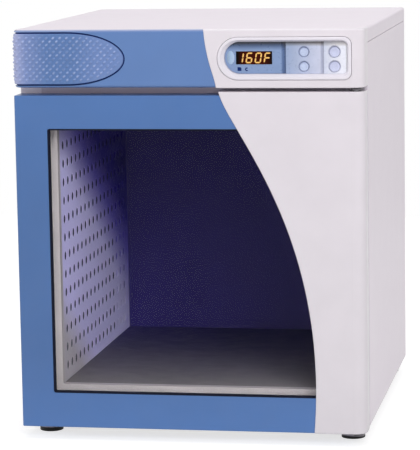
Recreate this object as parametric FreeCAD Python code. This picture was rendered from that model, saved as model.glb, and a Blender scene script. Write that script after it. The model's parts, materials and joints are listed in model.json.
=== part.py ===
import FreeCAD, Part
import math
import os

# Counter-top blanket warming cabinet, in millimetres.
# +X is to the right of somebody facing the door, +Y runs to the back and +Z is up.
# The origin is on the floor, under the middle of the cabinet's overall box.

Vector = FreeCAD.Vector
X_AXIS = Vector(1, 0, 0)
Y_AXIS = Vector(0, 1, 0)
Z_AXIS = Vector(0, 0, 1)

# ---- Driving dimensions ----------------------------------------------------------------

# Overall sizes
casing_width = 612.0            # over the side panels
casing_depth = 632.0            # behind the header and the door
front_height = 700.0            # door's lower edge to the top face
foot_height = 22.0              # floor to the door's lower edge
casing_lift = 4.5               # door's lower edge to the casing's underside
front_inset = 0.0               # header and door sides lie this far inside the casing sides
front_depth = 50.0              # header and door stand this far ahead of the casing
header_height = 100.0
finger_gap = 13.5               # open gap between the header and the door

# Sheet, walls and clearances
skin = 1.2                      # painted sheet of the casing
liner_sheet = 0.9               # enamelled sheet of the chamber
moulded_wall = 2.5              # blue mouldings
cover_wall = 3.0                # white mouldings, proud of the blue ones
seat_gap = 0.2                  # between pieces that are fixed together
run_gap = 0.3                   # between pieces that move past each other
pin_clearance = 0.06            # round a turning pin or shaft

# Casing
seam_drop = 26.0                # side seam below the top face
seam_gap = 2.2
side_flange = 37.0              # side panel's fold across the front
rear_flange = 16.0
pan_rim = 20.0
top_bend = 5.0                  # outer radius of the top cover's folded edges
lip_height = 18.0               # of the folds hidden under the top cover's flange

# Chamber and the build-up of its walls
side_wall = 63.3                # casing side to the chamber
floor_wall = 62.5               # casing underside to the chamber floor
rear_wall = 70.0                # chamber back to the casing back
bay_and_plenum = 168.0          # chamber ceiling to the top face
mouth_lip = 16.0                # depth of the front frame's lip into the chamber
duct_depth = 24.9
plenum_height = 39.6
top_insulation = 25.0
hole_radius = 8.0               # air holes in the duct panels
hole_pitch_y = 32.0
hole_pitch_z = 33.0
first_hole_y = 41.0             # first column behind the chamber's mouth
first_hole_z = 27.0             # first row above the floor
hole_margin = 30.0              # last hole to the next edge, at least
intake_hole_radius = 5.0
intake_rings = ((20.0, 6), (38.0, 12), (56.0, 18))

# Header and its grip pad
header_corner = 14.0            # radius of the header's left edge
header_soften = 5.0             # radius of its upper and lower edges
door_corner = 3.0               # radius of the door's left edge
door_soften = 1.6               # radius of its upper and lower edges
cover_soften = 1.8              # radius of the white edges
top_soften = 3.5                # radius of the white header's upper edge
right_corner = 22.0             # radius of the white right edges
top_lip_depth = 4.0             # header's upper edge, ahead of the top cover
cover_underlap = 0.8            # header cover below the header shell
cover_overlap = 6.3             # door cover above the door skin
pad_straight = 95.0             # left side to where the pad starts to round off
pad_round = 100.7               # length of its elliptical end
pad_half_height = 43.6
pad_drop = 0.4                  # pad's middle below the header's middle
pad_thickness = 8.0
pad_proud = 0.7
pad_wrap = 28.0                 # pad's reach along the header's left side
pad_groove = 2.8
pocket_wall = 1.8

# Curved edge of each white cover: the four poles of a cubic. Each pole has its distance inward
# from the right side of the front, and its share of the way up from the curve's lower end.
header_sweep = ((275.76, 1.0), (270.31, 0.3752), (251.17, 0.2409), (255.84, 0.0))
door_sweep = ((252.31, 1.0), (247.27, 0.8906), (60.39, 0.6105), (91.09, 0.0))

# Control panel
bezel_inset = 21.8              # from the right side
bezel_width = 229.9
bezel_height = 72.7
bezel_drop = 0.45               # bezel's middle below the header's middle
bezel_corner = 13.0
bezel_rim = 4.8                 # bead round the bezel
bezel_slopes = (6.2, 2.9, 4.9, 3.1)      # widths of the slope inside it: left, right, bottom, top
bezel_bevel_depth = 6.5
bezel_gap = 0.7
bezel_proud = 2.0               # ahead of the white cover
bezel_depth = 14.0              # behind the blue front plane
panel_corner = 8.0
display_zone = 106.1            # recessed left part of the panel
display_recess = 11.0           # its face behind the blue front plane
stripe_width = 8.2              # dark channel at the display's right end
stripe_depth = 1.6
key_recess = 6.0
third_zone = 40.2               # raised strip round the right keys
third_recess = 2.5
third_channel = 4.0             # shallow channel at the foot of that strip
third_channel_depth = 0.8
key_radius_left = 8.0
key_radius_right = 9.2
key_dome = 1.4
key_dish_radius = 14.0
key_dish_depth = 1.6
key_sink = 1.5                  # countersink round each key
key_travel = 1.2
key_stem_radius = 2.0
key_flange = 1.5
key_column_left = 103.7         # key axis from the right side
key_column_right = 51.0
key_spacing = 24.9
key_rise = 10.3                 # upper key axis above the header's middle
lens_left = 159.2               # display window's right edge from the right side
lens_width = 62.2
lens_height = 22.0
lens_drop = 0.1                 # its middle below the header's middle
digit_height = 18.4
digit_width = 11.2
digit_pitch = 15.6
digit_stroke = 2.4
digit_slant = 0.16
digit_margin = 0.9              # last figure to the lens's right edge
digit_thickness = 0.3
indicator_width = 13.4
indicator_height = 22.8
indicator_rise = 0.6            # its middle above the window's middle
indicator_gap = 2.4             # indicator to display window
board_y = 22.0                  # control board's face behind the blue front plane
board_thickness = 1.6
switch_size = 6.2
switch_height = 3.6

# Door
stile_width = 58.0
lower_rail = 61.5
upper_rail = 57.8
window_corner = 4.0
window_return = 11.0
door_rear_gap = 6.0             # door's back to the casing
glass_thickness = 4.0
glass_front = 5.0               # glass face behind the blue front plane
gasket_lip = 2.8
pan_sheet = 2.0
pan_opening_gap = 15.8          # door pan's opening outside the chamber mouth
seal_width = 9.0
seal_offset = 1.0

# Door hinge
hinge_inset = 16.0              # pin axis from the door's right side
hinge_setback = 14.0            # pin axis behind the blue front plane
pin_radius = 4.0
pin_reach = 22.0                # pin inside the door
bushing_wall = 3.0
bushing_flange = 2.4
bushing_flange_height = 1.8
arm_half_width = 9.0
arm_sheet = 3.0
bracket_leg = 48.0
bracket_leg_sheet = 2.0

# Fan and heater
fan_setback = 281.0             # fan axis behind the chamber's mouth
shaft_radius = 4.0
impeller_radius = 75.0
impeller_height = 26.0
blade_count = 24
motor_radius = 42.0
motor_height = 50.0
heater_radius = 105.0
heater_tube = 4.0

# Electrics
supply_size = (150.0, 95.0, 44.0)
relay_size = (46.0, 60.0, 26.0)
inlet_flange = (76.0, 32.0, 2.5)
inlet_body = (70.0, 26.0, 38.0)
inlet_inset = 100.0             # inlet's middle from the casing's right side
inlet_drop = 60.0               # inlet's middle below the top face
rocker_size = (13.0, 20.0)
rocker_proud = 3.5
rocker_tilt = 8.0               # degrees the rocker leans when it is off
drawer_size = (7.0, 20.0)
drawer_travel = 22.0
loom_radius = 2.5
loom_bend = 18.0

# Feet
foot_inset_x = 33.0             # foot axis from the casing side
foot_inset_y = 28.0             # foot axis behind the casing front, and ahead of its back
foot_radius = 21.0
foot_pad_height = 9.0
foot_chamfer = 2.0
stud_radius = 5.0
stud_rise = 14.0                # stud above the base pan's floor
lock_ring_radius = 17.0
lock_ring_height = 7.5
lock_ring_ribs = 18
nut_across_flats = 17.0
nut_height = 8.0

# Screws
screw_radius = 2.0
screw_head_radius = 4.0
screw_head_height = 2.2
screw_length = 9.0

# ---- Levels and planes worked out from them --------------------------------------------

half_casing = casing_width / 2
half_front = half_casing - front_inset
total_depth = bezel_proud + cover_wall + front_depth + casing_depth + inlet_flange[2] + rocker_proud
face_y = bezel_proud + cover_wall - total_depth / 2

door_bottom = foot_height
top_z = foot_height + front_height
casing_bottom = door_bottom + casing_lift
header_bottom = top_z - header_height
header_middle = header_bottom + header_height / 2
pad_middle = header_middle - pad_drop
door_top = header_bottom - finger_gap
seam_z = top_z - seam_drop


def at(depth):
    """Row Y of a plane that lies this far behind the blue front plane."""
    return face_y + depth


casing_front = at(front_depth)
casing_back = at(front_depth + casing_depth)
chamber_half = half_casing - side_wall
chamber_floor = casing_bottom + floor_wall
chamber_top = top_z - bay_and_plenum
chamber_back = casing_back - rear_wall
liner_half = chamber_half + liner_sheet + duct_depth
liner_top = chamber_top + liner_sheet + plenum_height
tray_z = liner_top + liner_sheet + top_insulation
bay_floor = tray_z + skin
window_half = half_front - stile_width
window_bottom = door_bottom + lower_rail
window_top = door_top - upper_rail
door_back = at(front_depth - door_rear_gap)
shell_corner = right_corner - cover_wall + 0.5      # blue corner under the white one
hinge_x = half_front - hinge_inset
hinge_y = at(hinge_setback)
fan_y = casing_front + fan_setback
foot_x = half_casing - foot_inset_x
foot_ys = (casing_front + foot_inset_y, casing_back - foot_inset_y)
inner_x = half_casing - 2 * skin - 2 * seat_gap     # inside of the lapped side panels
bay_front = casing_front + skin + seat_gap
bay_back = casing_back - 2 * skin - 2 * seat_gap

pieces = {}


# ---- Small helpers ---------------------------------------------------------------------

def block(x0, x1, y0, y1, z0, z1):
    return Part.makeBox(x1 - x0, y1 - y0, z1 - z0, Vector(x0, y0, z0))


def rod(radius, x, y, z, axis, length):
    return Part.makeCylinder(radius, length, Vector(x, y, z), axis)


def add(name, *solids):
    """Keep one piece, or a group of like pieces, under its node name."""
    found = []
    for shape in solids:
        found.extend(shape.Solids)
    pieces[name] = found[0] if len(found) == 1 else Part.makeCompound(found)


def edges_at(shape, x=None, y=None, z=None):
    """Edges that lie wholly at the given coordinates."""
    found = []
    for edge in shape.Edges:
        box = edge.BoundBox
        spans = ((x, box.XMin, box.XMax), (y, box.YMin, box.YMax), (z, box.ZMin, box.ZMax))
        if all(value is None or max(abs(low - value), abs(high - value)) < 0.01
               for value, low, high in spans):
            found.append(edge)
    return found


def mirrored(shape):
    """The same shape on the other side of the cabinet's middle."""
    return shape.mirror(Vector(0, 0, 0), X_AXIS)


def rounded_outline(x0, x1, z0, z1, left, right):
    """Closed XZ outline with one corner radius at its left end and one at its right end."""
    def corner(x, z, radius, start):
        def point(turn):
            return Vector(x + radius * math.cos(turn), 0, z + radius * math.sin(turn))
        return Part.Arc(point(start), point(start + math.pi / 4), point(start + math.pi / 2)).toShape()

    arcs = (corner(x1 - right, z1 - right, right, 0),
            corner(x0 + left, z1 - left, left, math.pi / 2),
            corner(x0 + left, z0 + left, left, math.pi),
            corner(x1 - right, z0 + right, right, 3 * math.pi / 2))
    edges = []
    for index, arc in enumerate(arcs):
        edges.append(arc)
        end = arc.Vertexes[-1].Point
        start = arcs[(index + 1) % len(arcs)].Vertexes[0].Point
        if end.distanceToPoint(start) > 0.001:
            edges.append(Part.makeLine(end, start))
    return Part.Wire(edges)


def plate_xz(outline, y0, y1, holes=()):
    """Plate across the cabinet, between two Y planes, from XZ outlines."""
    wires = [outline] + list(holes)
    face = Part.makeFace(wires, "Part::FaceMakerBullseye")
    face.translate(Vector(0, y0, 0))
    return face.extrude(Vector(0, y1 - y0, 0))


def rounded_plate(x0, x1, z0, z1, y0, y1, left, right):
    return plate_xz(rounded_outline(x0, x1, z0, z1, left, right), y0, y1)


def polygon_plate(points, y0, y1):
    corners = [Vector(x, 0, z) for x, z in points]
    return plate_xz(Part.makePolygon(corners + corners[:1]), y0, y1)


def frame_ring(x, z0, z1, wall, y0, y1, corner):
    """Rectangular ring of the given wall round an opening, its inside at x, z0 and z1."""
    outer = rounded_plate(-x - wall, x + wall, z0 - wall, z1 + wall, y0, y1, corner + wall, corner + wall)
    return outer.cut(rounded_plate(-x, x, z0, z1, y0 - 1, y1 + 1, corner, corner))


def screw(x, y, z, direction, grip):
    """Pan-head screw whose head sits on the plane through the point, its shank reaching inward."""
    back = direction * -1
    head = Part.makeCylinder(screw_head_radius, screw_head_height, Vector(x, y, z), direction)
    rim = [edge for edge in head.Edges
           if abs((edge.BoundBox.Center - Vector(x, y, z)).dot(direction) - screw_head_height) < 0.01]
    head = head.makeFillet(screw_head_height / 2, rim)
    shank = Part.makeCylinder(screw_radius, grip, Vector(x, y, z), back)
    return head.fuse(shank)


# ---- White-cover zone ------------------------------------------------------------------

def cover_zone(sweep, low, high, shift):
    """Everything right of a curved edge between two levels, moved to the left by shift."""
    poles = [Vector(half_front - inset, 0, low + share * (high - low)) for inset, share in sweep]
    curve = Part.BezierCurve()
    curve.setPoles(poles)
    margin = 10.0
    top_left = poles[0] + Z_AXIS * margin
    bottom_left = poles[3] - Z_AXIS * margin
    far_x = half_front + margin
    corners = (poles[3], bottom_left, Vector(far_x, 0, bottom_left.z), Vector(far_x, 0, top_left.z),
               top_left, poles[0])
    edges = [curve.toShape()]
    for start, end in zip(corners, corners[1:]):
        edges.append(Part.makeLine(start, end))
    outline = Part.Wire(edges)
    zone = plate_xz(outline, at(-margin), at(front_depth))
    zone.translate(Vector(-shift, 0, 0))
    return zone


def header_zone(shift):
    """White part of the header; its curve runs on across the finger gap."""
    return cover_zone(header_sweep, header_bottom - finger_gap, top_z, shift)


def door_zone():
    """White part of the door; its curve runs on across the finger gap."""
    return cover_zone(door_sweep, door_bottom, door_top + finger_gap, 0)


# ---- Casing ----------------------------------------------------------------------------

def make_side_panel():
    """Right side panel: web, front and rear folds, and a set-back lip under the top cover."""
    web_top = seam_z - seam_gap / 2
    lip_x = half_casing - skin - 2 * seat_gap
    lip_top = seam_z + lip_height
    rear_fold = casing_back - skin - seat_gap
    web = block(half_casing - skin, half_casing, casing_front, casing_back, casing_bottom, web_top)
    ledge = block(lip_x - skin, half_casing, casing_front, rear_fold, web_top - skin, web_top)
    lip = block(lip_x - skin, lip_x, casing_front, rear_fold, web_top - skin, lip_top)
    front = block(half_casing - side_flange, half_casing, casing_front, casing_front + skin,
                  casing_bottom, web_top)
    front_top = block(half_casing - side_flange, lip_x, casing_front, casing_front + skin,
                      web_top - skin, lip_top)
    back = block(half_casing - rear_flange, half_casing, rear_fold - skin, rear_fold,
                 casing_bottom, web_top)
    panel = web.multiFuse([ledge, lip, front, front_top, back]).removeSplitter()
    for z in rear_screw_heights():
        panel = panel.cut(rod(screw_radius + seat_gap, half_casing - rear_flange / 2,
                              casing_back + 1, z, Y_AXIS * -1, screw_length))
    return panel


def rear_screw_heights():
    count = 4
    low = casing_bottom + 40
    high = seam_z - 40
    return [low + (high - low) * step / (count - 1) for step in range(count)]


def vent_slots(x_middle, z_middle, rows, length, height, pitch):
    slots = []
    for row in range(rows):
        z = z_middle + (row - (rows - 1) / 2) * pitch
        slots.append(rounded_outline(x_middle - length / 2, x_middle + length / 2,
                                     z - height / 2, z + height / 2, height / 2, height / 2))
    return slots


def make_rear_panel():
    """Flat back with air slots for the electronics bay and the mains inlet's cut-out."""
    edge_x = half_casing - skin - seat_gap
    top = seam_z - seam_gap / 2
    inlet_x = half_casing - inlet_inset
    inlet_z = top_z - inlet_drop
    slot_z = (bay_floor + top) / 2
    slots = vent_slots(-edge_x / 2, slot_z, 4, 90.0, 5.0, 12.0)
    slots += vent_slots(0.0, slot_z, 4, 90.0, 5.0, 12.0)
    cut_out = rounded_outline(inlet_x - inlet_body[0] / 2 - seat_gap, inlet_x + inlet_body[0] / 2 + seat_gap,
                              inlet_z - inlet_body[1] / 2 - seat_gap, inlet_z + inlet_body[1] / 2 + seat_gap,
                              2.0, 2.0)
    outline = rounded_outline(-edge_x, edge_x, casing_bottom, top, 1.0, 1.0)
    panel = plate_xz(outline, casing_back - skin, casing_back, slots + [cut_out])
    lip_back = casing_back - skin - 2 * seat_gap
    lip = block(-half_casing + rear_flange + 2, half_casing - rear_flange - 2,
                lip_back - skin, lip_back, top - 12, seam_z + lip_height)
    joint = block(-half_casing + rear_flange + 2, half_casing - rear_flange - 2,
                  lip_back - 0.1, casing_back - skin + 0.1, top - 12, top)
    panel = panel.multiFuse([lip, joint])
    for side in (-1, 1):
        for z in rear_screw_heights():
            panel = panel.cut(rod(screw_radius + seat_gap, side * (half_casing - rear_flange / 2),
                                  casing_back + 1, z, Y_AXIS * -1, skin + 2))
    for x in top_screw_places():
        panel = panel.cut(rod(screw_radius + seat_gap, x, casing_back + 1, top_z - seam_drop / 2,
                              Y_AXIS * -1, screw_length))
    return panel


def top_screw_places():
    return [(half_casing - 90) * step for step in (-1, 0, 1)]


def make_top_cover():
    """Folded lid: side and rear flanges over the casing and a flat tongue over the header."""
    outer = block(-half_casing, half_casing, casing_front, casing_back, top_z - seam_drop, top_z)
    inner = block(-half_casing + skin, half_casing - skin, casing_front - 1, casing_back - skin,
                  top_z - seam_drop - 1, top_z - skin)
    outer = outer.makeFillet(top_bend, edges_at(outer, x=-half_casing, z=top_z)
                             + edges_at(outer, x=half_casing, z=top_z)
                             + edges_at(outer, y=casing_back, z=top_z))
    inner = inner.makeFillet(top_bend - skin, edges_at(inner, x=-half_casing + skin, z=top_z - skin)
                             + edges_at(inner, x=half_casing - skin, z=top_z - skin)
                             + edges_at(inner, y=casing_back - skin, z=top_z - skin))
    cover = outer.cut(inner)
    tongue_right = half_front - cover_wall - run_gap
    tongue_front = at(run_gap - seat_gap)
    tongue = block(-half_front + moulded_wall + run_gap, tongue_right, tongue_front, casing_front + 1,
                   top_z - skin, top_z)
    tongue = tongue.makeFillet(right_corner - cover_wall - run_gap,
                               edges_at(tongue, x=tongue_right, y=tongue_front))
    tongue = tongue.cut(block(-half_front, half_front, at(-1), at(top_lip_depth + 0.5), top_z - 5, top_z + 1))
    tongue = tongue.cut(header_corner_room())
    cover = cover.fuse(tongue).removeSplitter()
    for x in top_screw_places():
        cover = cover.cut(rod(screw_radius + seat_gap, x, casing_back + 1, top_z - seam_drop / 2,
                              Y_AXIS * -1, skin + 2))
    return cover


def header_corner_room():
    """What lies outside a hair within the header shell's rounded left wall."""
    left = -half_front + moulded_wall + run_gap
    front = at(moulded_wall + run_gap)
    corner = block(-half_front - 1, left + header_corner, at(-1), front + header_corner, top_z - 5, top_z + 1)
    inside = block(left, half_front, front, casing_front, top_z - 6, top_z + 2)
    return corner.cut(inside.makeFillet(header_corner - moulded_wall - run_gap,
                                        edges_at(inside, x=left, y=front)))


def make_base_pan():
    """Tray floor with welded nuts for the feet's studs."""
    x = half_casing - skin - seat_gap
    pan = block(-x, x, bay_front, bay_back, casing_bottom, casing_bottom + pan_rim)
    pan = pan.cut(block(-x + skin, x - skin, bay_front + skin, bay_back - skin,
                        casing_bottom + skin, casing_bottom + pan_rim + 1))
    nut_points = []
    for step in range(6):
        turn = math.pi / 3 * step
        reach = nut_across_flats / 2 / math.cos(math.pi / 6)
        nut_points.append(Vector(reach * math.cos(turn), reach * math.sin(turn), 0))
    nut_face = Part.Face(Part.makePolygon(nut_points + nut_points[:1]))
    for foot_side in (-1, 1):
        for foot_y in foot_ys:
            nut = nut_face.extrude(Z_AXIS * nut_height)
            nut.translate(Vector(foot_side * foot_x, foot_y, casing_bottom + skin))
            pan = pan.fuse(nut)
    for foot_side in (-1, 1):
        for foot_y in foot_ys:
            pan = pan.cut(rod(stud_radius + pin_clearance, foot_side * foot_x, foot_y,
                              casing_bottom - 1, Z_AXIS, pan_rim))
    return pan


def make_front_frame():
    """Flat face round the chamber's mouth, with a lip folded into the chamber."""
    edge_x = half_casing - side_flange - seat_gap
    mouth = rounded_outline(-chamber_half, chamber_half, chamber_floor, chamber_top, 3.0, 3.0)
    outline = rounded_outline(-edge_x, edge_x, casing_bottom, seam_z + lip_height, 1.0, 1.0)
    cable_hole = rounded_outline(cable_x - 12, cable_x + 12, cable_z - 8, cable_z + 8, 8.0, 8.0)
    face = plate_xz(outline, casing_front, casing_front + skin, [mouth, cable_hole])
    lip = frame_ring(chamber_half, chamber_floor, chamber_top, skin, casing_front,
                     casing_front + mouth_lip, 3.0)
    return face.fuse(lip).removeSplitter()


cable_x = half_front - 170.0    # where the loom passes from the bay into the header
cable_z = header_middle + 10.0


# ---- Chamber ---------------------------------------------------------------------------

def make_liner():
    """Five enamelled sheets, welded along their edges, that enclose the chamber, ducts and plenum."""
    x = liner_half
    lip_end = casing_front + mouth_lip + seat_gap
    back = chamber_back + liner_sheet
    low = chamber_floor - liner_sheet
    side = block(x, x + liner_sheet, bay_front, back, low, liner_top + liner_sheet)
    floor = block(-x, x, lip_end, chamber_back, low, chamber_floor)
    rear = block(-x, x, chamber_back, back, low, liner_top)
    top = block(-x, x, bay_front, back, liner_top, liner_top + liner_sheet)
    for hole_x, hole_y, radius in top_passages(seat_gap):
        top = top.cut(rod(radius, hole_x, hole_y, liner_top - 1, Z_AXIS, liner_sheet + 2))
    return side, mirrored(side), floor, rear, top


def top_passages(clearance):
    """Holes that the shaft, the heater's ends and the probe need through the plenum's top."""
    passages = [(0.0, fan_y, shaft_radius + 4.0), (probe_x, probe_y, probe_radius + clearance)]
    for x, y in heater_ends():
        passages.append((x, y, heater_tube + clearance))
    return passages


heater_gap = 16.0               # half the distance between the heater's two ends
probe_radius = 2.5
probe_x = 120.0
probe_y = casing_front + 110.0
probe_depth = 30.0              # probe's reach below the chamber's ceiling
thermostat_x = -130.0
thermostat_radius = 9.0
thermostat_height = 11.0


def heater_ends():
    reach = math.sqrt(heater_radius ** 2 - heater_gap ** 2)
    return ((-heater_gap, fan_y + reach), (heater_gap, fan_y + reach))


def make_duct_panel():
    """Right perforated wall, folded at both ends to stand off the liner."""
    y0 = casing_front + mouth_lip + seat_gap
    y1 = chamber_back - seat_gap
    z0 = chamber_floor + seat_gap
    z1 = chamber_top - seat_gap
    columns = int((chamber_back - hole_margin - casing_front - first_hole_y) / hole_pitch_y) + 1
    rows = int((chamber_top - hole_margin - chamber_floor - first_hole_z) / hole_pitch_z) + 1
    corners = [Vector(chamber_half, y, z) for y, z in ((y0, z0), (y1, z0), (y1, z1), (y0, z1))]
    wires = [Part.makePolygon(corners + corners[:1])]
    for column in range(columns):
        for row in range(rows):
            centre = Vector(chamber_half, casing_front + first_hole_y + column * hole_pitch_y,
                            chamber_floor + first_hole_z + row * hole_pitch_z)
            wires.append(Part.Wire(Part.makeCircle(hole_radius, centre, X_AXIS)))
    face = Part.makeFace(wires, "Part::FaceMakerBullseye")
    panel = face.extrude(X_AXIS * liner_sheet)
    folds = [block(chamber_half, liner_half - seat_gap, y0, y0 + liner_sheet, z0, z1),
             block(chamber_half, liner_half - seat_gap, y1 - liner_sheet, y1, z0, z1)]
    return panel.multiFuse(folds).removeSplitter()


def make_ceiling_panel():
    """Sheet under the plenum, with rings of air-intake holes below the impeller."""
    y0 = casing_front + mouth_lip + seat_gap
    y1 = chamber_back - seat_gap
    x = chamber_half + liner_sheet
    panel = block(-x, x, y0, y1, chamber_top, chamber_top + liner_sheet)
    drills = [rod(probe_radius + seat_gap, probe_x, probe_y, chamber_top - 1, Z_AXIS, liner_sheet + 2)]
    for radius, count in intake_rings:
        for step in range(count):
            turn = 2 * math.pi * step / count
            drills.append(rod(intake_hole_radius, radius * math.cos(turn), fan_y + radius * math.sin(turn),
                              chamber_top - 1, Z_AXIS, liner_sheet + 2))
    return panel.cut(Part.makeCompound(drills))


def make_insulation():
    """Five slabs that fill the walls between the liner and the casing."""
    liner_x = liner_half + liner_sheet + seat_gap
    slab_x = inner_x - seat_gap - skin
    floor_z = casing_bottom + pan_rim + seat_gap
    liner_z = chamber_floor - skin - seat_gap
    roof_z = tray_z - seat_gap
    y0 = bay_front + seat_gap
    y1 = casing_back - screw_length - seat_gap
    back_y = chamber_back + liner_sheet + seat_gap
    right = block(liner_x, slab_x, y0, y1, liner_z + seat_gap, roof_z)
    add("insulation_right", right)
    add("insulation_left", mirrored(right))
    add("insulation_rear", block(-liner_x + seat_gap, liner_x - seat_gap, back_y, y1,
                                 liner_z + seat_gap, roof_z))
    add("insulation_floor", block(-slab_x, slab_x, y0, y1, floor_z, liner_z))
    top = block(-liner_x + seat_gap, liner_x - seat_gap, y0, back_y - seat_gap,
                liner_top + liner_sheet + seat_gap, roof_z)
    slab_clearance = 3.0
    for x, y, radius in top_passages(slab_clearance):
        top = top.cut(rod(radius, x, y, liner_top, Z_AXIS, top_insulation * 2))
    top = top.cut(rod(thermostat_radius + slab_clearance, thermostat_x, probe_y, liner_top,
                      Z_AXIS, top_insulation * 2))
    add("insulation_top", top)


def make_tray():
    """Sheet floor of the electronics bay, on top of the insulation."""
    tray = block(-inner_x + skin + seat_gap, inner_x - skin - seat_gap, bay_front + seat_gap,
                 bay_back - seat_gap, tray_z, bay_floor)
    for x, y, radius in top_passages(2.0):
        tray = tray.cut(rod(radius, x, y, tray_z - 1, Z_AXIS, skin + 2))
    return tray


# ---- Fan, heater and sensors -----------------------------------------------------------

shaft_bottom = chamber_top + liner_sheet + 6.0
shaft_top = bay_floor + 30.0


def make_motor():
    """Motor can on a round foot, bored for the turning shaft."""
    foot = rod(motor_radius + 9, 0, fan_y, bay_floor + seat_gap, Z_AXIS, 4.0)
    can = rod(motor_radius, 0, fan_y, bay_floor + seat_gap, Z_AXIS, motor_height)
    can = can.makeFillet(4.0, edges_at(can, z=bay_floor + seat_gap + motor_height))
    motor = foot.fuse(can)
    for step in range(16):
        turn = 2 * math.pi * step / 16
        slot = rod(2.0, (motor_radius - 8) * math.cos(turn), fan_y + (motor_radius - 8) * math.sin(turn),
                   bay_floor + seat_gap + motor_height - 6, Z_AXIS, 10.0)
        motor = motor.cut(slot)
    bore = rod(shaft_radius + pin_clearance, 0, fan_y, bay_floor - 1, Z_AXIS, shaft_top - bay_floor + 2)
    return motor.cut(bore)


def make_impeller():
    """Centrifugal wheel: back plate, hub and blades that lean out of the radial line."""
    top = shaft_bottom + impeller_height
    plate = rod(impeller_radius, 0, fan_y, top - 1.5, Z_AXIS, 1.5)
    hub = rod(11.0, 0, fan_y, shaft_bottom, Z_AXIS, impeller_height)
    parts = [hub]
    for step in range(blade_count):
        blade = block(impeller_radius * 0.6, impeller_radius - 1.0, -0.6, 0.6, 0, impeller_height - 1.0)
        blade.rotate(Vector(impeller_radius * 0.6, 0, 0), Z_AXIS, 25)
        blade.rotate(Vector(0, 0, 0), Z_AXIS, 360.0 * step / blade_count)
        blade.translate(Vector(0, fan_y, shaft_bottom))
        parts.append(blade)
    limit = rod(impeller_radius, 0, fan_y, shaft_bottom, Z_AXIS, impeller_height)
    wheel = plate.multiFuse(parts).common(limit)
    bore = rod(shaft_radius + pin_clearance, 0, fan_y, shaft_bottom - 1, Z_AXIS, impeller_height + 2)
    return wheel.cut(bore)


def make_heater():
    """Tubular ring round the impeller, with two ends that rise into the bay."""
    level = chamber_top + liner_sheet + plenum_height / 2
    end_z = bay_floor + 12.0
    ends = heater_ends()
    start = math.degrees(math.atan2(ends[0][1] - fan_y, ends[0][0]))
    span = 360.0 - 2 * math.degrees(math.asin(heater_gap / heater_radius))
    profile = Part.Face(Part.Wire(Part.makeCircle(heater_tube, Vector(heater_radius, fan_y, level), Y_AXIS)))
    profile.rotate(Vector(0, fan_y, level), Z_AXIS, start)
    ring = profile.revolve(Vector(0, fan_y, level), Z_AXIS, span)
    legs = []
    for x, y in ends:
        legs.append(rod(heater_tube, x, y, level, Z_AXIS, end_z - level))
        legs.append(Part.makeSphere(heater_tube, Vector(x, y, level)))
    return ring.multiFuse(legs)


def make_probe():
    """Thin temperature probe down into the chamber, on a hexagonal gland in the bay."""
    tip = chamber_top - probe_depth
    stem = rod(probe_radius, probe_x, probe_y, tip, Z_AXIS, bay_floor + 14 - tip)
    gland = rod(8.0, probe_x, probe_y, bay_floor + seat_gap, Z_AXIS, 8.0)
    return stem.fuse(gland)


def make_thermostat():
    """Snap-disc cut-out on the plenum's top, with two blade terminals."""
    z = liner_top + liner_sheet + seat_gap
    body = rod(thermostat_radius, thermostat_x, probe_y, z, Z_AXIS, thermostat_height)
    for side in (-1, 1):
        blade_x = thermostat_x + side * 5.0
        body = body.fuse(block(blade_x - 0.4, blade_x + 0.4, probe_y - 3, probe_y + 3,
                               z + thermostat_height, z + thermostat_height + 8))
    return body


# ---- Electrics -------------------------------------------------------------------------

supply_x = -half_casing + 100.0
supply_y = casing_back - 130.0
relay_x = -half_casing + 230.0


def make_supply():
    """Switched power supply in a slotted cage."""
    length, width, height = supply_size
    z = bay_floor + seat_gap
    body = block(supply_x - length / 2, supply_x + length / 2, supply_y - width / 2,
                 supply_y + width / 2, z, z + height)
    for step in range(9):
        x = supply_x - length / 2 + 15 + step * 15
        body = body.cut(block(x - 2, x + 2, supply_y - width / 2 + 12, supply_y + width / 2 - 12,
                              z + height - 3, z + height + 1))
    terminals = block(supply_x + length / 2 - 12, supply_x + length / 2 + 1, supply_y - width / 2 + 6,
                      supply_y + width / 2 - 6, z + height - 20, z + height + 1)
    return body.cut(terminals)


def make_relay():
    """Solid-state relay on a finned heat sink."""
    length, width, height = relay_size
    z = bay_floor + seat_gap
    relay = block(relay_x - length / 2, relay_x + length / 2, supply_y - width / 2,
                  supply_y + width / 2, z, z + height)
    for step in range(5):
        y = supply_y - width / 2 + 8 + step * 11
        relay = relay.cut(block(relay_x - length / 2 - 1, relay_x + length / 2 + 1, y, y + 6, z - 1, z + 10))
    return relay


def inlet_centre():
    return half_casing - inlet_inset, top_z - inlet_drop


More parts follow.
